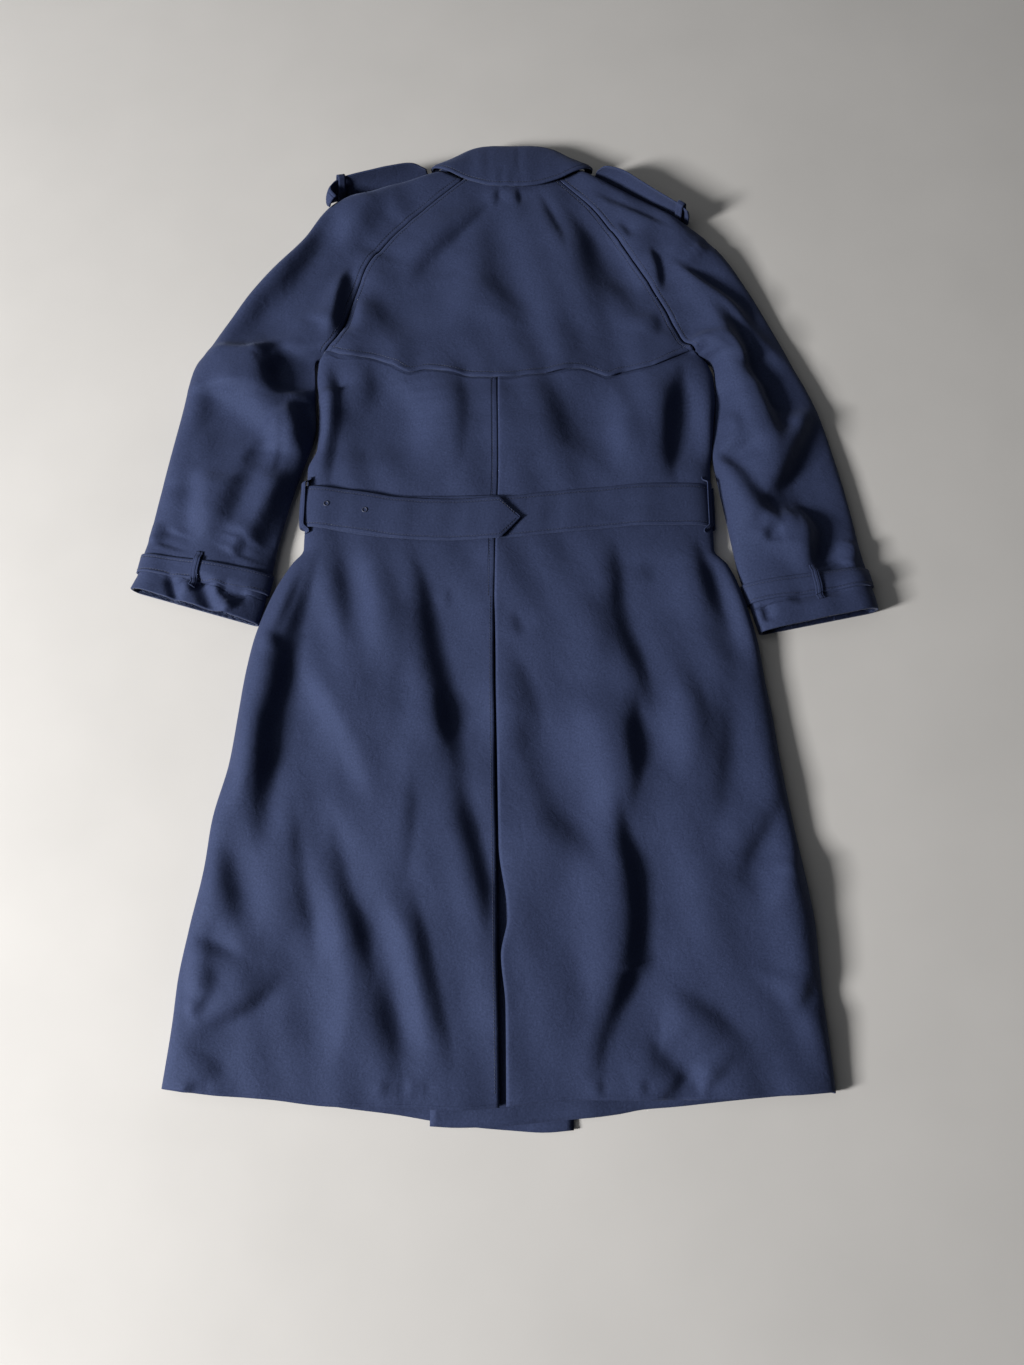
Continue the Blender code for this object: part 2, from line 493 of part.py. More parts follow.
def body_section(k, sign, hem_table):
    """Columns of one half of the back in row k, from the side to the centre seam: (x, y, level)."""
    edge_x, edge_y = row_edge(k, sign, hem_table)
    open_side = openness(k)
    seam = read(VENT, BODY_ROWS[k].y, "seam_x")
    opening = read(VENT, BODY_ROWS[k].y, "opening")
    inner = seam - SEAM_GAP / 2 if sign < 0 else seam + max(SEAM_GAP / 2, opening)
    edge_x -= sign * SEAM_GAP / 2 * (1 - open_side)
    width = abs(edge_x - inner)
    radius = min(UPPER_ROLL, 0.4 * width)
    ins = [roll_in(a, radius, open_side) for a in ROLL_ANGLES]
    free = 8
    ins += [radius + (width - radius) * (j + 1) / free for j in range(free)]
    columns = []
    for inset in ins:
        x = edge_x - sign * inset
        level = 1 - open_side * (1 - rounding(inset, radius))
        columns.append((x, row_y(k, x, hem_table), level))
    columns[0] = (edge_x, edge_y, columns[0][2])
    return columns


def back_grid(sign):
    points = []
    for k in range(len(BODY_ROWS)):
        row = []
        for x, y, level in body_section(k, sign, BACK_HEM):
            z = EDGE_HEIGHT + SEAM_GAP / 2 + (drape("body", x, y) - EDGE_HEIGHT - SEAM_GAP / 2) * level
            row.append(Vector((x, y, z)))
        points.append(row)

    def edges(i):
        side, seam = points[i][0], points[i][-1]
        at_side = (drape_normal("body", side.x, side.y) if i >= SHIELD_ROW
                   else outward(points, i, 0, points[i][-1]))
        return at_side, drape_normal("body", seam.x, seam.y)

    return points, grid_normals(points, edges)


def front_grid(sign, at_side):
    """A front (sign -1 left, 1 right), or its side panel; the right front laps over the left one."""
    hem = FRONT_LEFT_HEM if sign < 0 else FRONT_RIGHT_HEM
    edge_at_hem = FRONT_LEFT_EDGE if sign < 0 else FRONT_RIGHT_EDGE
    edge_at_neck = -0.050 if sign < 0 else 0.062
    points = []
    for k in range(SIDE_PANEL_END + 1 if at_side else len(BODY_ROWS) - 1):
        edge_x, edge_y = row_edge(k, sign, hem)
        open_side = openness(k)
        edge_x -= sign * SEAM_GAP / 2 * (1 - open_side)
        turn = max(0.0, (BODY_ROWS[k].y - BREAK_Y) / (BODY_ROWS[-2].y - BREAK_Y))
        inner = edge_at_hem + (edge_at_neck - edge_at_hem) * turn
        width = abs(edge_x - inner)
        radius = LOWER_ROLL
        seam = SIDE_PANEL_WIDTH * min(1.0, max(0.0, (SIDE_PANEL_END + 0.2 - k) / 3))
        if at_side:
            squeeze = min(1.0, seam / (1.2 * radius))
            ins = [roll_in(a, radius, open_side) * squeeze for a in LOWER_ANGLES] + [seam - SEAM_GAP / 2]
        else:
            start = seam + SEAM_GAP / 2 if seam else 0.0
            split = min(max(abs(edge_x - LAP_END), 0.3 * width), 0.7 * width)
            ins = [start + (split - start) * j / 5 for j in range(5)]
            ins += [split + (width - split) * j / 4 for j in range(5)]
        row = []
        for inset in ins:
            x = edge_x - sign * inset
            y = row_y(k, x, hem)
            over = 0.0 if sign < 0 else LAP_STEP * smooth((0.170 - x) / 0.045) * smooth((edge_x - x) / 0.035)
            level = open_side * (1 - rounding(inset, radius))
            low = underside(x, y) + over
            row.append(Vector((x, y, low + (EDGE_HEIGHT - SEAM_GAP / 2 - low) * level)))
        if at_side or not seam:
            row[0].y = edge_y
        points.append(row)

    def edges(i):
        if not at_side:
            return None, None
        return Vector((0, 0, 1)) if i >= SHIELD_ROW else -outward(points, i, 0, points[i][-1]), None

    return points, grid_normals(points, edges)


def sleeve_rows(sign):
    """Rows of a sleeve from neck to cuff: outer point, inner point, how open the inner side is, and lift."""
    rows = []
    for k in range(len(BODY_ROWS) - 1, SHIELD_ROW - 1, -1):
        x, y = row_edge(k, sign, BACK_HEM)
        name = "left" if sign < 0 else "right"
        outer = (read(SHOULDERS, y, name + "_x"), read(SHOULDERS, y, name + "_y"))
        rows.append((outer, (x + sign * SEAM_GAP / 2, y), openness(k), 0.0))
    for row in LEFT_SLEEVE_ROWS if sign < 0 else RIGHT_SLEEVE_ROWS:
        rows.append(((row.outer_x, row.outer_y), (row.inner_x, row.inner_y), 1.0, row.strap_lift))
    return rows


def sleeve_grid(sign, upper):
    angles, roll, middle = (ROLL_ANGLES, UPPER_ROLL, 3) if upper else (LOWER_ANGLES, LOWER_ROLL, 4)
    rows = sleeve_rows(sign)
    points = []
    for outer, inner, open_side, lift in rows:
        a, b = Vector((*outer, 0)), Vector((*inner, 0))
        width = (b - a).length
        radius = min(roll, 0.36 * width)
        ins = [roll_in(angle, radius, 1.0) for angle in angles]
        ins += [radius + (width - 2 * radius) * (j + 1) / (middle + 1) for j in range(middle)]
        ins += [width - roll_in(angle, radius, open_side) for angle in reversed(angles)]
        row = []
        for inset in ins:
            place = a + (b - a) * (inset / width)
            level = rounding(inset, radius) * (1 - open_side * (1 - rounding(width - inset, radius)))
            if upper:
                start = EDGE_HEIGHT + SEAM_GAP / 2
                z = start + (drape("sleeve", place.x, place.y) - start) * level
            else:
                start = EDGE_HEIGHT - SEAM_GAP / 2
                low = max(underside(place.x, place.y) if place.y > 0.2 else 0.0, lift)
                z = start + (low - start) * level
            row.append(Vector((place.x, place.y, z)))
        points.append(row)

    def edges(i):
        middle_point = points[i][len(points[i]) // 2]
        facing = 1 if upper else -1
        at_outer = outward(points, i, 0, middle_point) * facing
        if rows[i][2] < 1:
            seam = points[i][-1]
            at_inner = drape_normal("sleeve", seam.x, seam.y) if upper else Vector((0, 0, 1))
        else:
            at_inner = outward(points, i, -1, middle_point) * facing
        return at_outer, at_inner

    return points, grid_normals(points, edges)


def sleeve_ring(sign, first, last):
    """Grid of columns that run round a sleeve, over rows first to last below the underarm."""
    above = len(BODY_ROWS) - SHIELD_ROW
    top, top_normals = sleeve_grid(sign, upper=True)
    low, low_normals = sleeve_grid(sign, upper=False)
    points, normals = [], []
    for i in range(above + first, above + last + 1):
        points.append(top[i] + low[i][-2:0:-1])
        normals.append(top_normals[i] + [-n for n in low_normals[i][-2:0:-1]])
    return points, normals


def make_backs(cloth):
    for sign, name in ((-1, "back_left"), (1, "back_right")):
        points, normals = back_grid(sign)
        wall(name, points, normals, cloth)


def make_fronts(cloth):
    """Each front, and the side panel that turns up at the coat's side to meet the back."""
    for sign, side in ((-1, "left"), (1, "right")):
        for kind, at_side in (("front", False), ("side", True)):
            points, normals = front_grid(sign, at_side)
            wall(f"{kind}_{side}", points, normals, cloth, outer=0.0, inner=CLOTH)


def make_sleeves(cloth, lining):
    for sign, side in ((-1, "left"), (1, "right")):
        points, normals = sleeve_grid(sign, upper=True)
        wall(f"sleeve_{side}_back", points, normals, cloth)
        points, normals = sleeve_grid(sign, upper=False)
        wall(f"sleeve_{side}_front", points, normals, cloth, outer=0.0, inner=CLOTH)
        points, normals = sleeve_ring(sign, *LINING_ROWS)
        band(f"cuff_lining_{side}", points, normals, lining, -CLOTH - STRAP_GAP, -CLOTH - STRAP_GAP - 0.0010)


def make_vent_underlay(cloth):
    """The strip that closes the vent from inside: sewn behind both halves, from waist to hem."""
    last = max(k for k, row in enumerate(BODY_ROWS) if row.y < -0.01)
    left, left_normals = back_grid(-1)
    right, right_normals = back_grid(1)
    points = [left[k][-2:] + [right[k][-1], right[k][-2]] for k in range(last + 1)]
    normals = [left_normals[k][-2:] + [right_normals[k][-1], right_normals[k][-2]] for k in range(last + 1)]
    wall("vent_underlay", points, normals, cloth, -CLOTH - STRAP_GAP, -CLOTH - STRAP_GAP - 0.0015)


def make_storm_shield(cloth):
    """The flap over the upper back, made from the back's own points moved out."""
    left, left_normals = back_grid(-1)
    right, right_normals = back_grid(1)
    points, normals = [], []
    inset = 0.06
    for k in range(SHIELD_ROW, len(BODY_ROWS)):
        row, row_normals = list(left[k]), list(left_normals[k])
        row[0] = left[k][0].lerp(left[k][1], inset)
        other = right[k][-2::-1]
        other[-1] = right[k][0].lerp(right[k][1], inset)
        points.append(row + other)
        normals.append(row_normals + right_normals[k][-2::-1])
    wall("storm_shield", points, normals, cloth, STRAP_GAP + SHIELD_THICKNESS, STRAP_GAP)


def belt_over_back():
    """The outer face of the back under the belt: points and normals from left side to right side."""
    line = []
    for sign in (-1, 1):
        points, normals = back_grid(sign)
        half = []
        for j in range(len(points[0]) - (1 if sign > 0 else 0)):
            high = max(range(BELT_ROWS[0] - 1, BELT_ROWS[-1] + 2), key=lambda k: points[k][j].z)
            middle = BELT_ROWS[1]
            half.append((Vector((points[middle][j].x, BELT_Y, points[high][j].z if j else EDGE_HEIGHT)),
                         Vector((normals[middle][j].x, 0, normals[middle][j].z)).normalized()))
        line += half if sign < 0 else half[::-1]
    for k in range(1, len(line) - 1):
        across = line[k + 1][0] - line[k - 1][0]
        line[k] = (line[k][0], Vector((-across.z, 0, across.x)).normalized())
    return line


def make_belt(cloth):
    line = belt_over_back()
    lift = STRAP_GAP + 0.0004
    centres, normals = [], []
    for point, normal in line:
        centre = point + normal * (lift + BELT_THICKNESS / 2)
        centre.y = read(BELT_LINE, centre.x, "y")
        centres.append(centre)
        normals.append(normal)
    centres[0].z = centres[-1].z = EDGE_HEIGHT + SEAM_GAP / 2
    y_axis = Vector((0, 1, 0))
    strap("belt_back", centres, normals, [BELT_WIDTH] * len(centres), BELT_THICKNESS, cloth, y_axis)
    tail_lift = lift + BELT_THICKNESS * 1.5 + STRAP_GAP
    centres, tail_normals, widths = [], [], []
    stations = [(p, n) for p, n in line if p.x < TAIL_TIP_X - TAIL_POINT_LENGTH - 0.004]
    after = [(p, n) for p, n in line if p.x >= TAIL_TIP_X - TAIL_POINT_LENGTH - 0.004]
    for x in (TAIL_TIP_X - TAIL_POINT_LENGTH, TAIL_TIP_X):
        (p, n), (q, m) = stations[-1] if stations[-1][0].x > x else stations[-1], after[1]
        t = (x - p.x) / (q.x - p.x)
        stations.append((p.lerp(q, t), n.lerp(m, t).normalized()))
    for k, (point, normal) in enumerate(stations):
        centre = point + normal * tail_lift
        centre.y = read(TAIL_LINE, centre.x, "y")
        centres.append(centre)
        tail_normals.append(normal)
        widths.append(0.003 if k == len(stations) - 1 else BELT_WIDTH - 0.001)
    centres[0].z = EDGE_HEIGHT + SEAM_GAP / 2
    strap("belt_tail", centres, tail_normals, widths, BELT_THICKNESS, cloth, y_axis)
    return line


def strap_path(name, places, width, thickness, material):
    """A strap whose centres lie in a plane of constant y, given as (x, z) places."""
    centres = [Vector((x, BELT_Y, z)) for x, z in places]
    normals = []
    for k in range(len(centres)):
        along = centres[min(k + 1, len(centres) - 1)] - centres[max(k - 1, 0)]
        normals.append(Vector((-along.z, 0, along.x)).normalized())
    for end in (0, -1):
        if places[end][1] > 0.009:
            normals[end] = Vector((math.copysign(1, normals[end].x), 0, 0))
    strap(name, centres, normals, [width] * len(centres), thickness, material, Vector((0, 1, 0)))


def make_belt_front(cloth):
    """The buckled part of the belt under the fronts, and the buckle end that it laps over."""
    half = BELT_THICKNESS / 2
    top = EDGE_HEIGHT - SEAM_GAP / 2
    left, right = side_x(-1, BELT_Y), side_x(1, BELT_Y)
    out = 0.0008 + half
    inner = 0.0059 + half
    places = [(-0.010, inner), (-0.120, inner), (left + 0.012, inner), (left + 0.003, inner + 0.0003),
              (left - out + 0.0004, inner + 0.0016), (left - out, top)]
    strap_path("belt_buckle_end", places, BELT_WIDTH, BELT_THICKNESS, cloth)
    second = out + BELT_THICKNESS + STRAP_GAP
    low, raised = half, 0.0030 + half
    places = [(left - second, top), (left - second + 0.0002, 0.0078), (left - second + 0.0022, 0.0050),
              (left + 0.004, raised), (-0.120, raised), (0.0, raised), (0.070, raised),
              (0.092, (low + raised) / 2), (0.114, low), (0.180, low), (right - 0.010, low),
              (right - 0.001, 0.0030), (right + out - 0.0003, 0.0062), (right + out, top)]
    strap_path("belt_front", places, BELT_WIDTH, BELT_THICKNESS, cloth)


def make_buckle(horn):
    """A plain two-bar frame lying under the belt, with its prong."""
    outer_x, outer_y, bar = 0.030, 0.036, 0.0065
    thick = 0.0026
    shape = bmesh.new()
    xs = [-outer_x, -outer_x + bar, -bar / 2, bar / 2, outer_x - bar, outer_x]
    ys = [-outer_y, -outer_y + bar, outer_y - bar, outer_y]
    solid = [[not (1 <= j <= 1 and i in (1, 3)) for j in range(3)] for i in range(5)]
    corners = {(i, j, z): shape.verts.new((xs[i], BELT_Y + ys[j], z)) for i in range(6) for j in range(4)
               for z in (0.0, thick)}

    def filled(i, j):
        return 0 <= i < 5 and 0 <= j < 3 and solid[i][j]

    for i in range(5):
        for j in range(3):
            if not filled(i, j):
                continue
            for z in (0.0, thick):
                cell_corners = [(i, j), (i + 1, j), (i + 1, j + 1), (i, j + 1)]
                shape.faces.new([corners[(*c, z)] for c in cell_corners])
            sides = {(i - 1, j): ((i, j), (i, j + 1)), (i + 1, j): ((i + 1, j), (i + 1, j + 1)),
                     (i, j - 1): ((i, j), (i + 1, j)), (i, j + 1): ((i, j + 1), (i + 1, j + 1))}
            for neighbour, (a, b) in sides.items():
                if not filled(*neighbour):
                    side = [(*a, 0.0), (*b, 0.0), (*b, thick), (*a, thick)]
                    shape.faces.new([corners[c] for c in side])
    bmesh.ops.recalc_face_normals(shape, faces=shape.faces)
    mesh = bpy.data.meshes.new("belt_buckle")
    shape.to_mesh(mesh)
    shape.free()
    mesh.materials.append(horn)
    bpy.context.scene.collection.objects.link(bpy.data.objects.new("belt_buckle", mesh))


def make_belt_loops(cloth, line):
    """A loop at each side seam that holds the belt against the coat."""
    for sign, name, layers in ((-1, "belt_loop_left", 2), (1, "belt_loop_right", 1)):
        j = 1 if sign < 0 else len(line) - 2
        point, normal = line[j]
        high = STRAP_GAP * (layers + 1) + 0.0008 + BELT_THICKNESS * layers
        middle = read(BELT_LINE, point.x, "y")
        offsets = [(-0.0400, 0.0020), (-0.0345, high * 0.6), (-0.0310, high + 0.0009),
                   (0.0310, high + 0.0009), (0.0345, high * 0.6), (0.0400, 0.0020)]
        centres = [point + normal * off + Vector((0, middle + along - BELT_Y, 0)) for along, off in offsets]
        strap(name, centres, [normal] * len(centres), [0.010] * len(centres), 0.0014, cloth)


def make_cuff_straps(cloth):
    for sign, side in ((-1, "left"), (1, "right")):
        points, normals = sleeve_ring(sign, *STRAP_ROWS)
        band(f"cuff_strap_{side}", points, normals, cloth, STRAP_GAP + CUFF_STRAP_THICKNESS, STRAP_GAP)
        above = len(BODY_ROWS) - SHIELD_ROW
        top, top_normals = sleeve_grid(sign, upper=True)
        column = 5
        upper_row, lower_row = above + STRAP_ROWS[0], above + STRAP_ROWS[1]
        first, last = top[upper_row][column], top[lower_row][column]
        normal = (top_normals[upper_row][column] + top_normals[lower_row][column]).normalized()
        along = (last - first).normalized()
        high = STRAP_GAP * 2 + CUFF_STRAP_THICKNESS + 0.0012
        places = [(first - along * 0.0070, 0.0026), (first - along * 0.0030, high),
                  (last + along * 0.0030, high), (last + along * 0.0070, 0.0026)]
        centres = [place + normal * off for place, off in places]
        strap(f"cuff_loop_{side}", centres, [normal] * 4, [0.009] * 4, 0.0012, cloth)


def make_collar(cloth):
    """The fall of the collar: over the back, round both sides, and down to a point on each front."""
    rows = [CollarRow(-r.fold_x, *r[1:3], -r.edge_x, *r[4:]) for r in COLLAR[:0:-1]] + COLLAR
    points = []
    for row in rows:
        centre = Vector((COLLAR_CENTRE_X, 0, 0))
        fold, edge = centre + Vector(row[:3]), centre + Vector(row[3:])
        bulge = 0.0022 if row.edge_z > 0.02 else 0.0
        steps = (0, 0.34, 0.67, 1)
        points.append([fold.lerp(edge, t) + Vector((0, 0, bulge * math.sin(math.pi * t))) for t in steps])
    normals = []
    middle = len(points) // 2
    for i in range(len(points)):
        row = []
        for j in range(4):
            along = points[min(i + 1, len(points) - 1)][j] - points[max(i - 1, 0)][j]
            across = points[i][min(j + 1, 3)] - points[i][max(j - 1, 0)]
            row.append(along.cross(across).normalized())
        normals.append(row)
    facing = 1 if normals[middle][1].z > 0 else -1
    normals = [[n * facing for n in row] for row in normals]
    wall("collar", points, normals, cloth, COLLAR_THICKNESS / 2, -COLLAR_THICKNESS / 2)


def make_collar_stand(cloth):
    """The band between the neck seam and the collar's fold, under the fall."""
    points = []
    for at in STAND:
        points.append([Vector((at.x, at.foot_y + (at.top_y - at.foot_y) * t, at.z)) for t in (0, 0.5, 1)])
    wall("collar_stand", points, grid_normals(points, lambda i: (None, None)), cloth, 0.0, -CLOTH)


def make_lapels(cloth):
    """Each front's turned-back edge, lying flat under it."""
    outlines = {
        "lapel_left": [(0.069, 0.300), (-0.042, 0.499), (-0.134, 0.478), (-0.150, 0.440), (-0.060, 0.340)],
        "lapel_right": [(0.006, 0.424), (0.052, 0.500), (0.136, 0.478), (0.152, 0.440), (0.056, 0.345)],
    }
    for name, outline in outlines.items():
        base = [Vector((x, y, 0.0)) for x, y in outline]
        points = base + [p + Vector((0, 0, CLOTH)) for p in base]
        count = len(base)
        faces = [list(range(count)), list(range(2 * count - 1, count - 1, -1))]
        faces += [[k, (k + 1) % count, count + (k + 1) % count, count + k] for k in range(count)]
        new_object(name, points, faces, cloth)


def make_epaulettes(cloth, horn):
    """Shoulder straps that stand up off the folded shoulder line, each held by a loop and a button."""
    thick = EPAULETTE_THICKNESS
    for side, rails in EPAULETTES.items():
        points, normals = [], []
        for k, rail in enumerate(rails):
            foot, top = Vector(rail[:3]), Vector(rail[3:])
            before, after = rails[max(k - 1, 0)], rails[min(k + 1, len(rails) - 1)]
            along = Vector(after[:3]) + Vector(after[3:]) - Vector(before[:3]) - Vector(before[3:])
            away = along.cross(top - foot).normalized()
            away = -away if (away.y < 0) != (k > EPAULETTE_TURN[side]) else away
            bow = EPAULETTE_BOW * min(1.0, (top - foot).length / 0.030)
            points.append([foot, (foot + top) / 2 + away * bow, top])
            normals.append([away] * 3)
        wall(f"epaulette_{side}", points, normals, cloth, thick / 2, -thick / 2)
        k = EPAULETTE_LOOP[side]
        foot, middle, top = points[k]
        away = normals[k][0]
        up = (top - foot).normalized()
        along = up.cross(away)
        high = (top - foot).length / 2 + 0.0012
        near, far = thick / 2 + 0.0013, thick / 2 + EPAULETTE_BOW + 0.0012
        ring, ring_normals = [], []
        for step in (-0.005, 0.005):
            centre = (foot + top) / 2 + along * step
            sides = [(-1, -near), (1, -near), (1, far), (-1, far)]
            ring.append([centre + up * (a * high) + away * b for a, b in sides])
            ring_normals.append([up * a + away * math.copysign(1, b) for a, b in sides])
        band(f"epaulette_loop_{side}", ring, ring_normals, cloth, 0.0014, 0.0002)
        base = points[2][1] + normals[2][1] * (thick / 2 + 0.0006)
        button(f"epaulette_button_{side}", base, normals[2][1], 0.008, 0.003, horn)


def button(name, base, axis, radius, thickness, material):
    """A turned button: a rim round a shallow dish, standing on its base along its axis."""
    profile = [(0.0, 0.0), (0.86, 0.0), (1.0, 0.3), (1.0, 0.75), (0.9, 1.0), (0.72, 0.82), (0.0, 0.78)]
    sides = 14
    axis = axis.normalized()
    first = axis.orthogonal().normalized()
    second = axis.cross(first)
    points = [base, base + axis * thickness * profile[-1][1]]
    for r, h in profile[1:-1]:
        for k in range(sides):
            angle = 2 * math.pi * k / sides
            outward = first * math.cos(angle) + second * math.sin(angle)
            points.append(base + axis * (h * thickness) + outward * (r * radius))
    rings = len(profile) - 2
    faces = []
    for k in range(sides):
        after = (k + 1) % sides
        faces.append([0, 2 + after, 2 + k])
        faces.append([1, 2 + (rings - 1) * sides + k, 2 + (rings - 1) * sides + after])
        for r in range(rings - 1):
            a = 2 + r * sides
            faces.append([a + k, a + after, a + sides + after, a + sides + k])
    return new_object(name, points, faces, material)


def make_front_buttons(horn):
    rows = [0.255, 0.185, -0.015, -0.115]
    for number, y in enumerate(rows, 1):
        for side, x in (("left", -0.050), ("right", 0.050)):
            base = Vector((x, y, BUTTON_THICKNESS + 0.0001))
            down = Vector((0, 0, -1))
            button(f"button_{side}_{number}", base, down, BUTTON_RADIUS, BUTTON_THICKNESS, horn)


def main():
    for old in list(bpy.data.objects):
        bpy.data.objects.remove(old)
    cloth = new_material("navy_gabardine", NAVY, 0.62)
    lining = new_material("navy_lining", NAVY_LINING, 0.35)
    horn = new_material("dark_horn", HORN, 0.30)
    make_backs(cloth)
    make_vent_underlay(cloth)
    make_storm_shield(cloth)
    make_fronts(cloth)
    make_sleeves(cloth, lining)
    make_collar(cloth)
    make_collar_stand(cloth)
    make_lapels(cloth)
    make_epaulettes(cloth, horn)
    line = make_belt(cloth)
    make_belt_front(cloth)
    make_buckle(horn)
    make_belt_loops(cloth, line)
    make_cuff_straps(cloth)
    make_front_buttons(horn)


main()
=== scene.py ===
import math
from collections import namedtuple

import bpy
import numpy as np
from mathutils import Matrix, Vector


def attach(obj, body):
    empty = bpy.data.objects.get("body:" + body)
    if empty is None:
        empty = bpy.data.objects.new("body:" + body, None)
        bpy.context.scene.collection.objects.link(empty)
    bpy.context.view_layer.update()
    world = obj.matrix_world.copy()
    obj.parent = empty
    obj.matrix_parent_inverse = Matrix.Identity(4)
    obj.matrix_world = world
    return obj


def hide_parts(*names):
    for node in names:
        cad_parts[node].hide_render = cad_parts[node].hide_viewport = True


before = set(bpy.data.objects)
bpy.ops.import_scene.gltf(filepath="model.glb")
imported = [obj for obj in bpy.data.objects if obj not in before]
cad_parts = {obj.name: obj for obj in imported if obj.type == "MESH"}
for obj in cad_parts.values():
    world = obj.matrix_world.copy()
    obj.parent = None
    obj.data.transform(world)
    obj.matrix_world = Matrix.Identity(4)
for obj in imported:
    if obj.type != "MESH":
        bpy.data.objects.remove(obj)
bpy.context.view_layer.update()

# The coat lies on its front, so the wearer's left is at -X. Sizes are in metres, but tables of points are in
# millimetres.
bothHands = ((-1, "left"), (1, "right"))
clothWall = 0.0020
edgeHeight = 0.0110  # where the upper and lower walls meet at a folded side
edgeGap = 0.0003  # left between those two walls there
bodyLoft, sleeveLoft = 0.0240, 0.0300
upperRoll, lowerRoll = 0.0280, 0.0100  # how far in from a folded side each wall curves
underarm = 310.5
underarmY = underarm / 1000
neckY = 0.5650
backHemY = -0.578
shieldHemY = 0.280
farFromSeam = 0.02


def inMetres(kind, rows):
    return [kind(*(value / 1000 for value in row)) for row in rows]


Side = namedtuple("Side", "y left right")
sides = inMetres(Side, [
    (-575, -366, 357), (-500, -359, 352), (-460, -357, 349), (-405, -349, 347.5), (-335, -336.5, 338),
    (-286, -332, 330), (-215, -316, 320), (-160, -309.5, 314), (-118, -305, 308), (-80, -299, 303.5),
    (-55, -293, 298.5), (-8, -276, 286), (26, -257, 271.5), (45, -243.5, 256), (150, -243.5, 256),
    (180, -233, 260), (220, -232.5, 264), (250, -234.5, 267), (278, -237.5, 266), (297, -236.5, 259),
    (underarm, -227.5, 242), (326, -213.5, 226.5), (343.5, -206, 218.5), (388.5, -195, 196.5),
    (432.5, -180, 172), (474.5, -151, 148.5), (517.5, -107.5, 119), (565, -54.5, 72),
])
Point = namedtuple("Point", "x y")
backHem = inMetres(Point, [
    (-365, -568.5), (-298, -575.5), (-250, -578.5), (-185, -585.5), (-103, -587), (-50, -589), (-5, -587),
    (1, -586), (42, -582), (102, -579), (153, -579.5), (221, -578.5), (280, -576), (357, -572.2),
])
shieldHem = inMetres(Point, [
    (-227.5, underarm), (-205, 299.5), (-173, 299), (-143, 289.5), (-120, 278.5), (-98, 282.5),
    (-65, 277.5), (-34, 271.5), (0, 270.5), (38, 274.5), (98, 284.5), (114, 280.5), (132, 274.5),
    (148, 280.5), (185, 285.5), (206, 292.5), (242, underarm),
])
frontLeftHem = inMetres(Point, [
    (-365, -566.5), (-250, -575), (-186, -588), (-117, -596.5), (-79, -602.5), (-41, -608), (7, -612.5),
    (43, -614.4), (76, -612),
])
frontRightHem = inMetres(Point, [
    (-78, -608), (-50, -609.5), (0, -607.5), (76, -601), (123, -596.5), (151, -591.7), (184, -589),
    (224, -585), (290, -579), (357, -574),
])
beltLine = inMetres(Point, [
    (-255, 102.5), (-126, 83.5), (0, 83.5), (60, 89.5), (117, 95), (172, 99.5), (260, 101.5),
])
tailLine = inMetres(Point, [
    (-255, 100), (-166, 87.5), (-125, 81), (-65, 78.5), (25, 81.2),
])
Vent = namedtuple("Vent", "y seamX opening")
vent = inMetres(Vent, [
    (-585, -3, 7), (-480, -5, 8), (-430, -6, 4), (-389, -6.5, 11.5), (-311, -8, 3), (-200, -10, 2.8),
    (-108, -11.5, 2.5), (-45, -11.5, 1.5), (-10, -11, 0), (57, -10, 0), (147, -7, 0), (276, -8, 0),
    (420, -2, 0), (560, 5, 0),
])
Pull = namedtuple("Pull", "y hem shield")  # how far each height, in metres, follows the shaped hems
pulls = [Pull(*row) for row in [
    (-0.578, 1.0, 0.0), (-0.555, 0.9, 0.0), (-0.515, 0.7, 0.0), (-0.475, 0.4, 0.0), (-0.43, 0.15, 0.0),
    (-0.389, 0.0, 0.0), (0.18, 0.0, 0.0), (0.22, 0.0, 0.15), (0.252, 0.0, 0.6), (0.28, 0.0, 1.0),
    (0.312, 0.0, 0.55), (0.35, 0.0, 0.15), (0.393, 0.0, 0.0), (0.565, 0.0, 0.0),
]]
Shoulder = namedtuple("Shoulder", "seamY leftX leftY rightX rightY")
shoulders = inMetres(Shoulder, [
    (565, -92, 579.5, 108, 581), (517.5, -165, 556, 185, 537), (474.5, -229, 530, 242, 498),
    (432.5, -268, 470, 283, 458), (388.5, -316, 411, 314, 408), (343.5, -357, 349, 338, 360),
    (underarm, -382, 307, 356, 321),
])
SleeveRow = namedtuple("SleeveRow", "outerX outerY innerX innerY")
sleeveRows = {-1: inMetres(SleeveRow, [
    (-393, 289, -240.5, 301), (-399, 264, -240.5, 278), (-404.5, 228, -238, 243), (-411, 188, -236.5, 200),
    (-417.5, 148, -249, 154), (-424, 110, -262, 109), (-430, 70, -272, 64), (-433, 52, -276.5, 40),
    (-437, 36, -280, 12), (-441, 14, -285, -13), (-445, 4, -288.5, -33), (-449, -5, -293, -50),
]), 1: inMetres(SleeveRow, [
    (368, 292, 264, 298.5), (384, 257, 267.6, 268), (399, 215, 264.9, 220), (410, 170, 259.6, 169),
    (419, 128, 265, 130), (426, 90, 272.5, 85), (431, 56, 279, 44), (434, 39, 283, 20), (439, 18, 288, -1),
    (443, -4, 295, -25), (446.5, -17, 300, -44), (449, -31, 305, -60.5),
])}

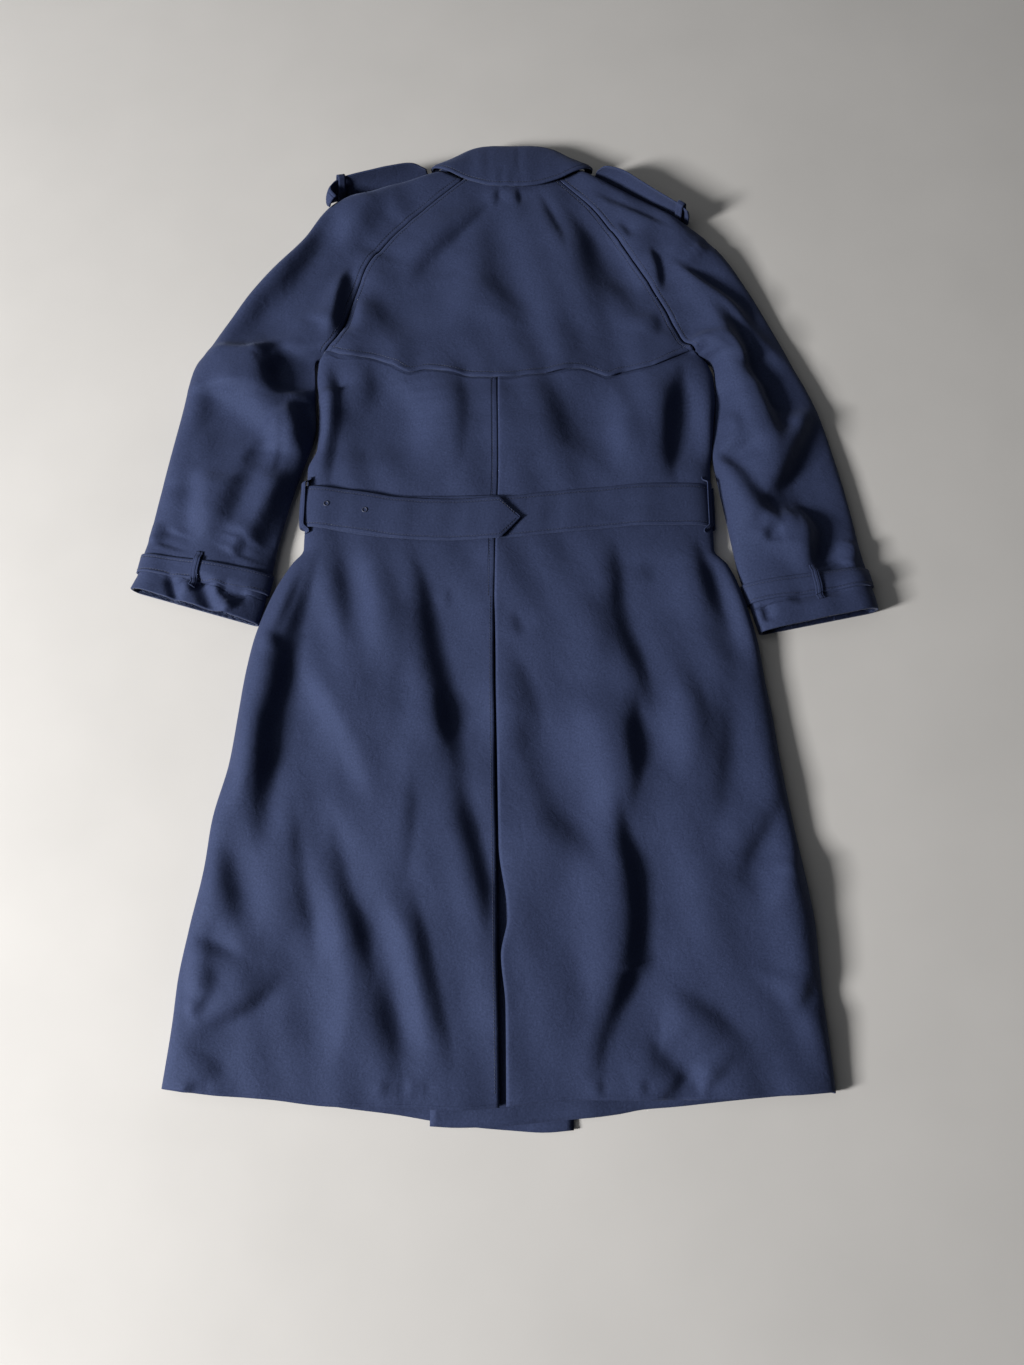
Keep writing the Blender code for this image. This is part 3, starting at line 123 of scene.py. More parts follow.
# Folds, in millimetres. dark: the cloth falls away from the light across the path; bright: it climbs towards
# it; crest and hollow: up and down. wide and wideEnd are the band's width at the path's two ends, and steep
# is its greatest slope.
Fold = namedtuple("Fold", "on kind wide wideEnd steep path")
bodyFolds = [
    # upper back
    ("dark", 8, 22, 0.75, (-20, 545, -30, 520, -66, 484, -98, 452, -118, 420, -122, 392)),
    ("dark", 34, 40, 0.45, (-184, 425, -172, 378, -154, 340, -142, 305)),
    ("bright", 14, 14, 0.40, (-194, 405, -190, 325)),
    ("bright", 36, 36, 0.24, (-30, 450, -62, 395, -84, 345)),
    ("dark", 7, 7, 0.50, (-8, 556, -14, 522)),
    ("dark", 7, 7, 0.50, (16, 556, 19, 520)),
    ("dark", 9, 12, 0.55, (40, 554, 56, 516, 72, 476, 80, 440)),
    ("dark", 14, 40, 0.42, (60, 545, 92, 498, 112, 455, 134, 412, 152, 368, 156, 322)),
    ("bright", 22, 22, 0.35, (112, 512, 142, 470, 166, 418, 172, 365)),
    ("dark", 14, 14, 0.45, (196, 372, 192, 326)),
    # between the shield and the belt
    ("dark", 34, 44, 0.55, (-190, 296, -172, 262, -178, 215, -192, 150)),
    ("bright", 56, 56, 0.30, (-118, 300, -110, 225, -104, 130)),
    ("dark", 16, 16, 0.30, (-58, 300, -54, 215, -58, 130)),
    ("bright", 14, 14, 0.50, (-234, 302, -236, 262, -226, 218, -230, 188, -230, 155, -238, 132)),
    ("dark", 12, 13, 0.80, (-226, 312, -214, 250, -214, 210, -217, 160, -216, 112)),
    ("dark", 34, 56, 0.22, (24, 292, 52, 240, 84, 190, 104, 132)),
    ("bright", 26, 26, 0.40, (128, 285, 138, 215, 136, 138)),
    ("dark", 16, 22, 0.80, (226, 312, 216, 248, 208, 205, 203, 160, 206, 112)),
    ("bright", 26, 26, 0.35, (243, 290, 242, 130)),
    # left half below the belt
    ("dark", 14, 32, 0.95, (-224, 78, -226, 60, -228, 28, -242, -22, -255, -71, -262, -120, -273, -168,
     -276, -215, -279, -260, -279, -306, -278, -350)),
    ("dark", 7, 7, 0.60, (-238, 38, -250, -5, -264, -48, -275, -80)),
    ("dark", 9, 9, 0.50, (-290, -62, -272, -68, -258, -90)),
    ("bright", 25, 25, 0.30, (-292, -110, -300, -200, -312, -280)),
    ("bright", 24, 24, 0.35, (-252, -90, -216, -144, -177, -215, -148, -269)),
    ("dark", 20, 20, 0.30, (-206, 62, -204, 48, -193, -22, -186, -86)),
    ("bright", 26, 26, 0.25, (-176, 50, -163, -47, -159, -130)),
    ("dark", 30, 30, 0.28, (-142, 45, -130, -71, -132, -158, -126, -225)),
    ("dark", 16, 32, 0.70, (-116, 72, -112, 40, -101, 3, -92, -47, -81, -96, -70, -140, -62, -190, -50,
     -240, -38, -290)),
    ("dark", 16, 16, 0.50, (-76, -120, -70, -165, -62, -205)),
    ("dark", 24, 12, 0.60, (-58, -220, -44, -280, -31, -328, -21, -370, -16, -430)),
    ("dark", 6, 6, 0.30, (-66, 0, -66, -35)),
    ("dark", 22, 22, 0.38, (-326, -285, -321, -306, -310, -350, -296, -393, -282, -424)),
    ("dark", 12, 12, 0.60, (-352, -402, -330, -418, -303, -430, -278, -440)),
    ("crest", 30, 30, 0.50, (-357, -466, -330, -462, -306, -464)),
    ("dark", 12, 12, 0.70, (-350, -482, -336, -478, -322, -484)),
    ("dark", 14, 14, 0.75, (-236, -440, -250, -462, -278, -484, -316, -503, -345, -512)),
    ("dark", 16, 16, 0.30, (-347, -525, -312, -545, -298, -570)),
    ("dark", 18, 16, 0.50, (-247, -235, -243, -262, -229, -350, -213, -414, -209, -462)),
    ("bright", 26, 26, 0.40, (-204, -340, -191, -414, -179, -478, -184, -558)),
    ("dark", 15, 15, 0.46, (-200, -262, -197, -279, -180, -350, -164, -393, -150, -436, -142, -470)),
    ("bright", 22, 22, 0.40, (-146, -355, -116, -414, -101, -478, -83, -545)),
    ("dark", 18, 18, 0.36, (-128, -436, -126, -478, -122, -503, -115, -531, -113, -575)),
    ("dark", 12, 12, 0.30, (-104, -205, -106, -288, -114, -375)),
    ("dark", 15, 15, 0.42, (-106, -340, -90, -419, -78, -469, -64, -515, -54, -570)),
    # right half below the belt
    ("dark", 22, 18, 0.62, (130, 74, 132, 18, 135, -22, 141, -52, 150, -81, 163, -120, 172, -165)),
    ("dark", 16, 20, 0.60, (156, -118, 148, -168, 148, -215, 146, -251, 140, -285)),
    ("dark", 20, 24, 0.95, (122, -225, 128, -262, 134, -306, 141, -333, 145, -363, 146, -402, 142, -436,
     133, -461, 121, -486, 110, -511, 102, -535, 100, -560, 103, -590)),
    ("dark", 30, 30, 0.30, (88, 40, 96, -20, 112, -80, 118, -150)),
    ("dark", 15, 15, 0.70, (224, 72, 238, 28, 246, 3, 254, -22, 262, -47, 270, -80)),
    ("bright", 20, 20, 0.40, (249, 45, 271, -22, 287, -71, 297, -125)),
    ("dark", 18, 18, 0.32, (2, -70, 17, -110, 36, -158, 46, -195)),
    ("dark", 24, 24, 0.34, (30, -215, 40, -238, 75, -297, 101, -333, 112, -365)),
    ("bright", 42, 42, 0.35, (60, -120, 91, -196, 108, -260, 124, -315)),
    ("dark", 10, 10, 0.35, (8, -30, 22, -75)),
    ("dark", 20, 20, 0.25, (165, 35, 176, -10)),
    ("bright", 30, 30, 0.30, (184, -90, 200, -170, 196, -260)),
    ("dark", 20, 20, 0.26, (212, -95, 224, -158, 218, -250)),
    ("dark", 24, 24, 0.28, (246, -100, 253, -144, 252, -196, 240, -260, 229, -335)),
    ("bright", 22, 22, 0.40, (330, -290, 306, -345, 284, -395)),
    ("dark", 18, 18, 0.50, (322, -240, 314, -256, 293, -288, 272, -328, 262, -362)),
    ("dark", 10, 10, 0.40, (332, -322, 328, -352)),
    ("dark", 12, 12, 0.60, (152, -420, 160, -440, 158, -462)),
    ("dark", 20, 20, 0.42, (150, -474, 180, -471, 210, -486, 239, -507, 270, -540)),
    ("dark", 16, 16, 0.48, (148, -508, 169, -539, 190, -559, 212, -582)),
    ("bright", 16, 16, 0.50, (196, -540, 222, -575)),
    ("dark", 30, 30, 0.30, (60, -400, 72, -470, 66, -560)),
    ("dark", 16, 16, 0.60, (336, -446, 324, -474, 312, -494)),
    ("crest", 36, 36, 0.28, (276, -70, 288, -115, 296, -170, 304, -250, 314, -320, 324, -400, 329, -460,
     334, -510, 338, -585)),
]
sleeveFolds = [
    # shoulders and upper sleeves
    ("dark", 26, 34, 0.80, (-212, 555, -240, 505, -259, 454, -286, 405, -319, 365, -359, 317)),
    ("dark", 24, 24, 0.40, (-150, 540, -172, 510, -195, 475, -206, 450)),
    ("dark", 8, 16, 1.15, (-201, 445, -207, 401, -212, 349, -228, 322)),
    ("dark", 8, 8, 0.50, (-319, 297, -290, 311)),
    ("dark", 9, 9, 0.50, (110, 545, 155, 522, 198, 498, 220, 482)),
    ("dark", 8, 8, 0.50, (150, 500, 166, 472)),
    ("dark", 8, 10, 0.65, (188, 462, 200, 428, 202, 392)),
    ("dark", 12, 12, 0.40, (252, 467, 265, 452)),
    ("dark", 12, 22, 1.00, (212, 452, 227, 433, 267, 400, 303, 370, 332, 334, 368, 283)),
    ("dark", 20, 34, 1.15, (256, 392, 286, 340, 306, 289, 318, 244, 323, 200, 328, 160, 334, 128)),
    ("crest", 11, 11, 1.50, (230, 300, 243, 318, 260, 320, 276, 300, 284, 270)),
    ("crest", 11, 9, 1.40, (258, 330, 284, 314, 306, 282)),
    # left sleeve below the underarm
    ("dark", 38, 38, 0.65, (-288, 322, -291, 280, -290, 240)),
    ("hollow", 20, 26, 0.90, (-306, 277, -262, 280, -204, 287)),
    ("bright", 28, 28, 0.42, (-380, 270, -329, 235, -278, 193, -252, 160)),
    ("dark", 18, 24, 1.05, (-268, 240, -253, 216, -243, 190, -242, 160)),
    ("dark", 16, 22, 0.45, (-296, 205, -312, 152, -330, 106, -352, 40)),
    ("bright", 22, 22, 0.40, (-372, 150, -370, 40)),
    ("dark", 18, 24, 0.75, (-247, 148, -273, 104, -294, 57, -312, 24)),
    ("dark", 5, 5, 0.35, (-277, 227, -276, 178, -285, 130)),
    ("dark", 10, 10, 0.65, (-311, 57, -322, 29)),
    ("dark", 14, 14, 0.55, (-421, 46, -409, 74)),
    ("hollow", 8, 7, 0.90, (-400, 14, -394, -8, -384, -36)),
    ("hollow", 13, 11, 1.00, (-366, 12, -354, -16, -336, -54)),
    ("hollow", 11, 11, 0.80, (-344, -4, -322, -14, -300, -18)),
    ("crest", 10, 10, 0.60, (-379, 2, -374, -16)),
    ("crest", 13, 10, 0.60, (-331, -24, -322, -38)),
    # right sleeve below the underarm
    ("hollow", 14, 14, 0.90, (271, 288, 268, 250, 264, 200, 264, 160)),
    ("bright", 20, 22, 0.80, (284, 285, 291, 253, 303, 220, 317, 186, 327, 142)),
    ("crest", 9, 9, 0.70, (271, 217, 284, 208, 277, 194)),
    ("dark", 22, 34, 1.20, (402, 244, 374, 185, 350, 137, 318, 70)),
    ("dark", 20, 24, 1.15, (254, 184, 281, 140, 300, 113, 334, 72)),
    ("dark", 16, 30, 1.00, (352, 134, 372, 94, 377, 58, 366, 4)),
    ("crest", 14, 14, 0.35, (304, 82, 331, 77, 358, 82)),
    ("dark", 10, 10, 0.60, (312, 45, 320, 64, 338, 70)),
    ("dark", 14, 14, 0.70, (436, 54, 421, 12)),
    ("hollow", 7, 7, 0.90, (310, -24, 315, -52)),
    ("crest", 9, 9, 0.60, (302, -30, 307, -54)),
    ("hollow", 8, 8, 0.70, (330, -24, 372, -16, 420, -8)),
]
hemPuckers = (-333, -327, -318, -127, -120, -110, -93, -83, 104, 150, 204, 218)
folds = [Fold("body", *row) for row in bodyFolds] + [Fold("sleeve", *row) for row in sleeveFolds]
folds += [Fold("body", "dark", 5, 5, 0.40, (x, -552, x, -582)) for x in hemPuckers]
foldSettings = dict(
    awayFromLight=(0.95, 0.30), steps=6, reach=12, narrow=0.52, swell=0.58,
    lift={"dark": -1.35, "bright": 1.65, "crest": 1.4, "hollow": -1.8},
    # a fold dies out over this share of its path
    longFold=0.2, fadeShort=0.45, fadeLong=0.36, fadeSleeve=0.28,
    softEdge=0.50, crisper=0.18, sleeveEdge=0.28, returnLength=5, returnPull=1.15,
)
drapeSettings = dict(
    seed=11, waves=22, lengths=(0.035, 0.11), wave=0.0054, skew=0.22, stretch=0.3, loftBlend=0.06,
    armBlend=0.012, beltReach=0.034, beltCalm=0.75, beltPress=0.0040, highest=0.0190, deepest=0.0130,
    sideBlend=0.02,
)


def smooth(t):
    t = np.clip(t, 0.0, 1.0)
    return t * t * (3 - 2 * t)


def curve(table, value, key="y"):
    # a monotone curve through one column of a table
    rows = sorted(table, key=lambda row: getattr(row, key))
    keys = np.array([getattr(row, key) for row in rows])
    values = np.array([getattr(row, value) for row in rows])
    steps = np.diff(values) / np.diff(keys)
    slopes = np.concatenate([steps[:1], np.zeros(len(keys) - 2), steps[-1:]])
    for k in range(1, len(keys) - 1):
        if steps[k - 1] * steps[k] > 0:
            slopes[k] = 2 * steps[k - 1] * steps[k] / (steps[k - 1] + steps[k])

    def at(where):
        where = np.clip(where, keys[0], keys[-1])
        i = np.clip(np.searchsorted(keys, where, side="right") - 1, 0, len(keys) - 2)
        span = keys[i + 1] - keys[i]
        t = (where - keys[i]) / span
        return ((1 + 2 * t) * (1 - t) ** 2 * values[i] + t * (1 - t) ** 2 * span * slopes[i]
                + t * t * (3 - 2 * t) * values[i + 1] + t * t * (t - 1) * span * slopes[i + 1])

    return at


def flow(points, each):
    # a smooth line through points, with a number of steps between each two
    points = np.asarray(points, float)
    ends = np.concatenate([[2 * points[0] - points[1]], points, [2 * points[-1] - points[-2]]])
    t = np.arange(each)[:, None] / each
    line = []
    for a, b, c, d in zip(ends, ends[1:], ends[2:], ends[3:]):
        bend = (2 * a - 5 * b + 4 * c - d) * t ** 2 + (3 * b - a - 3 * c + d) * t ** 3
        line.append(0.5 * (2 * b + (c - a) * t + bend))
    return np.concatenate(line + [points[-1:]])


sideLeft, sideRight = curve(sides, "left"), curve(sides, "right")
seamX, ventOpening = curve(vent, "seamX"), curve(vent, "opening")
hemPull, shieldPull = curve(pulls, "hem"), curve(pulls, "shield")
backHemAt, shieldHemAt, frontLeftHemAt, frontRightHemAt, beltAt, tailAt = (
    curve(line, "y", "x") for line in (backHem, shieldHem, frontLeftHem, frontRightHem, beltLine, tailLine))
frontHemAt = {-1: frontLeftHemAt, 1: frontRightHemAt}


def sideX(sign, y):
    return sideLeft(y) if sign < 0 else sideRight(y)


def foldHeight(fold, x, y):
    settings = foldSettings
    path = flow(np.array(fold.path, float).reshape(-1, 2) / 1000, settings["steps"])
    reach = settings["reach"] * max(fold.wide, fold.wideEnd) / 2000
    low, high = path.min(0) - reach, path.max(0) + reach
    near = np.nonzero((x > low[0]) & (x < high[0]) & (y > low[1]) & (y < high[1]))[0]
    height = np.zeros_like(x)
    if not len(near):
        return height
    fromX, fromY = x[near, None] - path[:-1, 0], y[near, None] - path[:-1, 1]
    dx, dy = np.diff(path.T)
    length = np.hypot(dx, dy)
    t = np.clip((fromX * dx + fromY * dy) / length ** 2, 0, 1)
    offX, offY = fromX - t * dx, fromY - t * dy
    nearest = np.argmin(offX ** 2 + offY ** 2, axis=1)
    pick = (np.arange(len(near)), nearest)
    off = np.hypot(offX, offY)[pick] * np.sign((dx * offY - dy * offX)[pick])
    run = np.concatenate([[0], np.cumsum(length)])
    along = (run[nearest] + t[pick] * length[nearest]) / run[-1]
    chord = path[-1] - path[0]
    if chord[0] * settings["awayFromLight"][1] < chord[1] * settings["awayFromLight"][0]:
        off = -off
    onBody = fold.on == "body"
    bodyFade = "fadeShort" if run[-1] < settings["longFold"] else "fadeLong"
    fade = settings[bodyFade if onBody else "fadeSleeve"]
    taper = smooth(along / fade) * smooth((1 - along) / fade)
    wide = fold.wide + (fold.wideEnd - fold.wide) * along
    half = (settings["narrow"] + settings["swell"] * taper) * wide / 2000
    s = off / half
    if fold.kind in ("dark", "bright"):
        # a straight slope over the band, soft where it starts and crisper where it ends, then a long return
        edge = settings["sleeveEdge"]
        if onBody:
            edge = settings["softEdge"] - settings["crisper"] * np.tanh(2 * s)
        past = edge * (np.logaddexp(0, (np.abs(s) - 1) / edge) - np.logaddexp(0, -1 / edge))
        back = settings["returnLength"]
        shape = np.sign(s) * (np.abs(s) - past) * np.logaddexp(0, back - settings["returnPull"] * past) / back
    else:
        shape = np.exp(-s * s / 2)
    height[near] = shape * settings["lift"][fold.kind] * fold.steep * half * taper
    return height


fullTurn = 2 * math.pi
rng = np.random.default_rng(drapeSettings["seed"])
waves = [(rng.uniform(*drapeSettings["lengths"]), rng.uniform(0, fullTurn), rng.uniform(0, fullTurn))
         for _ in range(drapeSettings["waves"])]


def undulation(x, y):
    # slow unevenness of cloth that lies loose
    skew, stretch, height = (drapeSettings[key] for key in ("skew", "stretch", "wave"))
    total = np.zeros_like(x)
    for length, heading, phase in waves:
        along = (x + skew * y) * math.cos(heading) + stretch * y * math.sin(heading)
        total += height * length * np.sin(fullTurn / length * along + phase)
    return total


def drape(part, x, y):
    # height of the upper cloth over the floor, folded edges apart
    settings, shape = drapeSettings, x.shape
    x, y = x.ravel(), y.ravel()
    beyond = np.where(x < 0, sideLeft(y) - x, x - sideRight(y))
    loft = bodyLoft + (sleeveLoft - bodyLoft) * smooth(beyond / settings["loftBlend"])
    above = smooth((y - underarmY) / settings["armBlend"] + 0.5)  # where a fold runs on over the raglan seam
    total = undulation(x, y)
    for fold in folds:
        total += foldHeight(fold, x, y) * (1.0 if fold.on == part else above)
    if part == "body":
        near = np.exp(-((y - beltAt(x)) / settings["beltReach"]) ** 2)
        total = total * (1 - settings["beltCalm"] * near) - settings["beltPress"] * near
    ceiling = np.where(total > 0, settings["highest"], settings["deepest"])
    return (loft + ceiling * np.tanh(total / ceiling)).reshape(shape)


def rounding(distance, radius):
    q = 1 - np.clip(distance / radius, 0.0, 1.0)
    return np.sqrt(np.maximum(0.0, 1 - q * q))


def rowY(x, y, hemAt):
    return y + shieldPull(y) * (shieldHemAt(x) - shieldHemY) + hemPull(y) * (hemAt(x) - backHemY)


def openSide(y):
    # 1 where the body's side is folded, 0 where it is the raglan seam
    return smooth((underarmY + 0.010 - y) / 0.030)


def edgeRow(sign, y, hemAt):
    # the body's side point at each row
    edge = y + shieldPull(y) * (underarmY - shieldHemY) + hemPull(y) * (hemAt(sign * 0.36) - backHemY)
    return sideX(sign, edge), edge


def blendToSide(y, sideY, inset):
    share = np.exp(-inset / drapeSettings["sideBlend"])
    return y * (1 - share) + sideY * share


def unit(vectors):
    return vectors / np.maximum(np.linalg.norm(vectors, axis=-1, keepdims=True), 1e-12)


def gridNormals(points):
    normals = np.cross(np.gradient(points, axis=1), np.gradient(points, axis=0))
    normals[normals[..., 2] < 0] *= -1
    return unit(normals)


def runAlong(points, axis):
    # distance along each line of a grid, from its first point
    steps = np.linalg.norm(np.diff(points, axis=axis), axis=2)
    return np.insert(np.cumsum(steps, axis), 0, 0.0, axis)


def edgeDistances(outer):
    # distance of each grid point from the first and last rows, and from the first and last columns
    down, over = runAlong(outer, 0), runAlong(outer, 1)
    return down, down[-1:] - down, over, over[:, -1:] - over


def addPiece(name, points, quads, material, uv=None, seamAndShadeDistance=None):
    mesh = bpy.data.meshes.new(name)
    mesh.from_pydata(points.tolist(), [], quads.tolist())
    if uv is not None:
        layer = mesh.uv_layers.new(name="clothGrain")
        corners = np.empty(len(mesh.loops), np.int32)
        mesh.loops.foreach_get("vertex_index", corners)
        layer.data.foreach_set("uv", uv[corners].astype(np.float32).ravel())
        mark = mesh.attributes.new("seamShadeDistance", "FLOAT", "POINT")
        mark.data.foreach_set("value", seamAndShadeDistance.astype(np.float32))
    mesh.shade_smooth()
    mesh.materials.append(material)
    mesh.validate()
    piece = bpy.data.objects.new(name, mesh)
    bpy.context.scene.collection.objects.link(piece)
    return piece


def closedWall(name, outer, inner, material, seamAndShadeDistance=None, ring=False):
    # A closed wall between two grids of points. An optional grid gives each point's distance from the nearest
    # seam line, or from the painted shadow line by the shield's hem; the cloth there gets a groove and
    # painted shade.
    # ring joins the last column to the first.
    rows, columns = outer.shape[:2]
    under = rows * columns
    index = np.arange(under).reshape(rows, columns)
    first, second = (index, np.roll(index, -1, axis=1)) if ring else (index[:, :-1], index[:, 1:])
    top = np.stack([first[:-1], second[:-1], second[1:], first[1:]], -1).reshape(-1, 4)
    rims = [(first[0], second[0]), (second[-1], first[-1])]
    if not ring:
        rims += [(index[1:, 0], index[:-1, 0]), (index[:-1, -1], index[1:, -1])]
    walls = [np.stack([b, a, a + under, b + under], -1) for a, b in rims]
    quads = np.concatenate([top, top[:, ::-1] + under, *walls])
    points = np.concatenate([outer.reshape(-1, 3), inner.reshape(-1, 3)])
    middle = slice(columns // 2, columns // 2 + 1)
    along, across = runAlong(outer, 0), runAlong(outer, 1)
    uv = np.stack([across - across[:, middle], np.repeat(along[:, middle], columns, 1)], -1)
    seamAndShadeDistance = np.full((rows, columns), farFromSeam) if seamAndShadeDistance is None else seamAndShadeDistance
    a, b, c, d = points[quads].transpose(1, 0, 2)
    if np.einsum("ij,ij->", a, np.cross(b - a, c - a) + np.cross(c - a, d - a)) < 0:
        quads = quads[:, ::-1]
    uv, seamAndShadeDistance = np.tile(uv.reshape(-1, 2), (2, 1)), np.tile(seamAndShadeDistance.ravel(), 2)
    return addPiece(name, points, quads, material, uv, seamAndShadeDistance)


def thicken(points, thickness):
    return points, points - gridNormals(points) * thickness


def seamDip(distance, depth=0.0004, reach=0.0020):
    # how far the cloth sinks along a seam
    return depth * np.exp(-(distance / reach) ** 2)


def newMaterial(name):
    material = bpy.data.materials.new(name)
    material.use_nodes = True
    return material, material.node_tree, material.node_tree.nodes["Principled BSDF"]


def fill(node, **values):
    # sets inputs by name, with _ for a space, and other settings as they are
    for name, value in values.items():
        socket = name.replace("_", " ")
        if socket in node.inputs:
            node.inputs[socket].default_value = value
        else:
            setattr(node, name, value)
    return node


def addNode(tree, kind, **values):
    return fill(tree.nodes.new(kind), **values)


def mathNode(tree, operation, first, second):
    node = addNode(tree, "ShaderNodeMath", operation=operation)
    for socket, value in zip(node.inputs, (first, second)):
        if isinstance(value, (int, float)):
            socket.default_value = value
        else:
            tree.links.new(value, socket)
    return node.outputs[0]


def addSockets(tree, direction, kind, **defaults):
    made, kind = [], "NodeSocket" + kind
    for name, value in defaults.items():
        made.append(tree.interface.new_socket(name.replace("_", " "), in_out=direction, socket_type=kind))
        if value is not None:
            made[-1].default_value = value
    return made


weaveSettings = dict(
    slub=dict(Scale=430.0, Detail=2.0), cloud=dict(Scale=22.0, Detail=3.0, Roughness=0.6),
    crumple=dict(Scale=58.0, Detail=5.0, Roughness=0.62, Distortion=0.6),
    twill=(0.82, 0.57), slubHeight=0.8, fineHeight=0.00006, crumpleHeight=0.0038,
    cloudShade=0.60, slubShade=1.50, darker=0.55,
)


def makeWeaveGroup(settings):
    # twill ribs and small crumples as a height, and a cloudy shade, from grain coordinates in metres
    group = bpy.data.node_groups.new("twillCloth", "ShaderNodeTree")
    addSockets(group, "INPUT", "Vector", Grain=None)
    addSockets(group, "INPUT", "Float", Rib_Pitch=0.0011, Rib_Depth=0.5, Crumple_Depth=0.5)
    addSockets(group, "OUTPUT", "Float", Height=None, Shade=None)
    source, out = addNode(group, "NodeGroupInput"), addNode(group, "NodeGroupOutput")
    given, link = source.outputs, group.links.new

    def times(first, second):
        return mathNode(group, "MULTIPLY", first, second)

    def plus(first, second):
        return mathNode(group, "ADD", first, second)

    def noise(name):
        node = addNode(group, "ShaderNodeTexNoise", **settings[name])
        link(given["Grain"], node.inputs["Vector"])
        return node.outputs["Fac"]

    place = addNode(group, "ShaderNodeSeparateXYZ")
    link(given["Grain"], place.inputs[0])
    diagonal = plus(*(times(place.outputs[k], settings["twill"][k]) for k in range(2)))
    turns = times(mathNode(group, "DIVIDE", diagonal, given["Rib Pitch"]), fullTurn)
    rib = times(mathNode(group, "SINE", turns, 0.0), given["Rib Depth"])
    slub, crumple, cloud = noise("slub"), noise("crumple"), noise("cloud")
    fine = plus(rib, times(slub, settings["slubHeight"]))
    broad = times(crumple, given["Crumple Depth"])
    height = plus(times(fine, settings["fineHeight"]), times(broad, settings["crumpleHeight"]))
    link(height, out.inputs["Height"])
    shade = plus(times(cloud, settings["cloudShade"]), times(slub, settings["slubShade"]))
    link(mathNode(group, "SUBTRACT", shade, settings["darker"]), out.inputs["Shade"])
    return group


weaveGroup = makeWeaveGroup(weaveSettings)
# a seam groove: a small dip in the bump, and painted shade that darkens the cloth's colour along it
seamGrooveAndShade = dict(width=0.0016, depth=0.0007, paintedShade=0.40)
navyColours = dict(dark=(0.0165, 0.0222, 0.0510), light=(0.0322, 0.0425, 0.0930), roughness=0.72)
clothSettings = {
    "navyGabardine": dict(navyColours, ribPitch=0.0011, ribDepth=0.5, crumple=0.25),
    "navyBeltCloth": dict(navyColours, ribPitch=0.0011, ribDepth=0.5, crumple=0.15),
    "navyLining": dict(dark=(0.0040, 0.0060, 0.0160), light=(0.0120, 0.0160, 0.0400), roughness=0.28,
                       ribPitch=0.0006, ribDepth=0.1, crumple=1.6),
}
clothShine = dict(Specular_IOR_Level=0.20, Specular_Tint=(0.45, 0.60, 1.0, 1.0), Sheen_Weight=0.10,
                  Sheen_Roughness=0.45, Sheen_Tint=(0.50, 0.60, 0.95, 1.0))


def clothMaterial(name):
    settings = clothSettings[name]
    material, tree, shader = newMaterial(name)
    link = tree.links.new
    grain = addNode(tree, "ShaderNodeUVMap", uv_map="clothGrain")
    weave = addNode(tree, "ShaderNodeGroup", node_tree=weaveGroup)
    fill(weave, Rib_Pitch=settings["ribPitch"], Rib_Depth=settings["ribDepth"],
         Crumple_Depth=settings["crumple"])
    link(grain.outputs["UV"], weave.inputs["Grain"])
    seam = addNode(tree, "ShaderNodeAttribute", attribute_name="seamShadeDistance")
    grooveAndPaintedShade = addNode(tree, "ShaderNodeMapRange", interpolation_type="SMOOTHSTEP", From_Min=0.0,
                     From_Max=seamGrooveAndShade["width"], To_Min=1.0, To_Max=0.0)
    link(seam.outputs["Fac"], grooveAndPaintedShade.inputs["Value"])
    sunk = mathNode(tree, "MULTIPLY", grooveAndPaintedShade.outputs["Result"], -seamGrooveAndShade["depth"])
    bump = addNode(tree, "ShaderNodeBump", Strength=1.0, Distance=1.0)
    link(mathNode(tree, "ADD", weave.outputs["Height"], sunk), bump.inputs["Height"])
    link(bump.outputs["Normal"], shader.inputs["Normal"])
    # painted shade: the colour is pulled towards the dark cloth colour along seams and the shield's hem
    darker = mathNode(tree, "MULTIPLY", grooveAndPaintedShade.outputs["Result"], seamGrooveAndShade["paintedShade"])
    colours = addNode(tree, "ShaderNodeMix", data_type="RGBA")
    factor, dark, light = (colours.inputs[k] for k in (0, 6, 7))
    dark.default_value = (*settings["dark"], 1.0)
    light.default_value = (*settings["light"], 1.0)
    link(mathNode(tree, "SUBTRACT", weave.outputs["Shade"], darker), factor)
    link(colours.outputs[2], shader.inputs["Base Color"])
    fill(shader, Roughness=settings["roughness"], **clothShine)
    return material


def mottledMaterial(name, dark, light, roughness, bumpHeight=None, **pattern):
    material, tree, shader = newMaterial(name)
    link = tree.links.new
    place = addNode(tree, "ShaderNodeTexCoord")
    noise = addNode(tree, "ShaderNodeTexNoise", **pattern)
    ramp = addNode(tree, "ShaderNodeValToRGB")
    for stop, colour in zip(ramp.color_ramp.elements, (dark, light)):
        stop.color = (*colour, 1.0)
    link(place.outputs["Object"], noise.inputs["Vector"])
    link(noise.outputs["Fac"], ramp.inputs[0])
    link(ramp.outputs[0], shader.inputs["Base Color"])
    if bumpHeight:
        bump = addNode(tree, "ShaderNodeBump", Strength=0.3, Distance=bumpHeight)
        link(noise.outputs["Fac"], bump.inputs["Height"])
        link(bump.outputs["Normal"], shader.inputs["Normal"])
    fill(shader, Roughness=roughness)
    return material


gabardine, beltCloth, liningCloth = (clothMaterial(name) for name in clothSettings)
horn = mottledMaterial("darkHorn", (0.006, 0.005, 0.006), (0.060, 0.045, 0.036), 0.26, 0.0002,
                       Scale=160.0, Detail=4.0, Distortion=2.0)
thread = mottledMaterial("navyThread", (0.010, 0.014, 0.034), (0.040, 0.050, 0.095), 0.5,
                         Scale=1400.0, Detail=2.0)
paleFloor = mottledMaterial("paleFloor", (0.455, 0.445, 0.430), (0.525, 0.512, 0.495), 0.85,
                            Scale=6.0, Detail=6.0)
stitchRuns = []


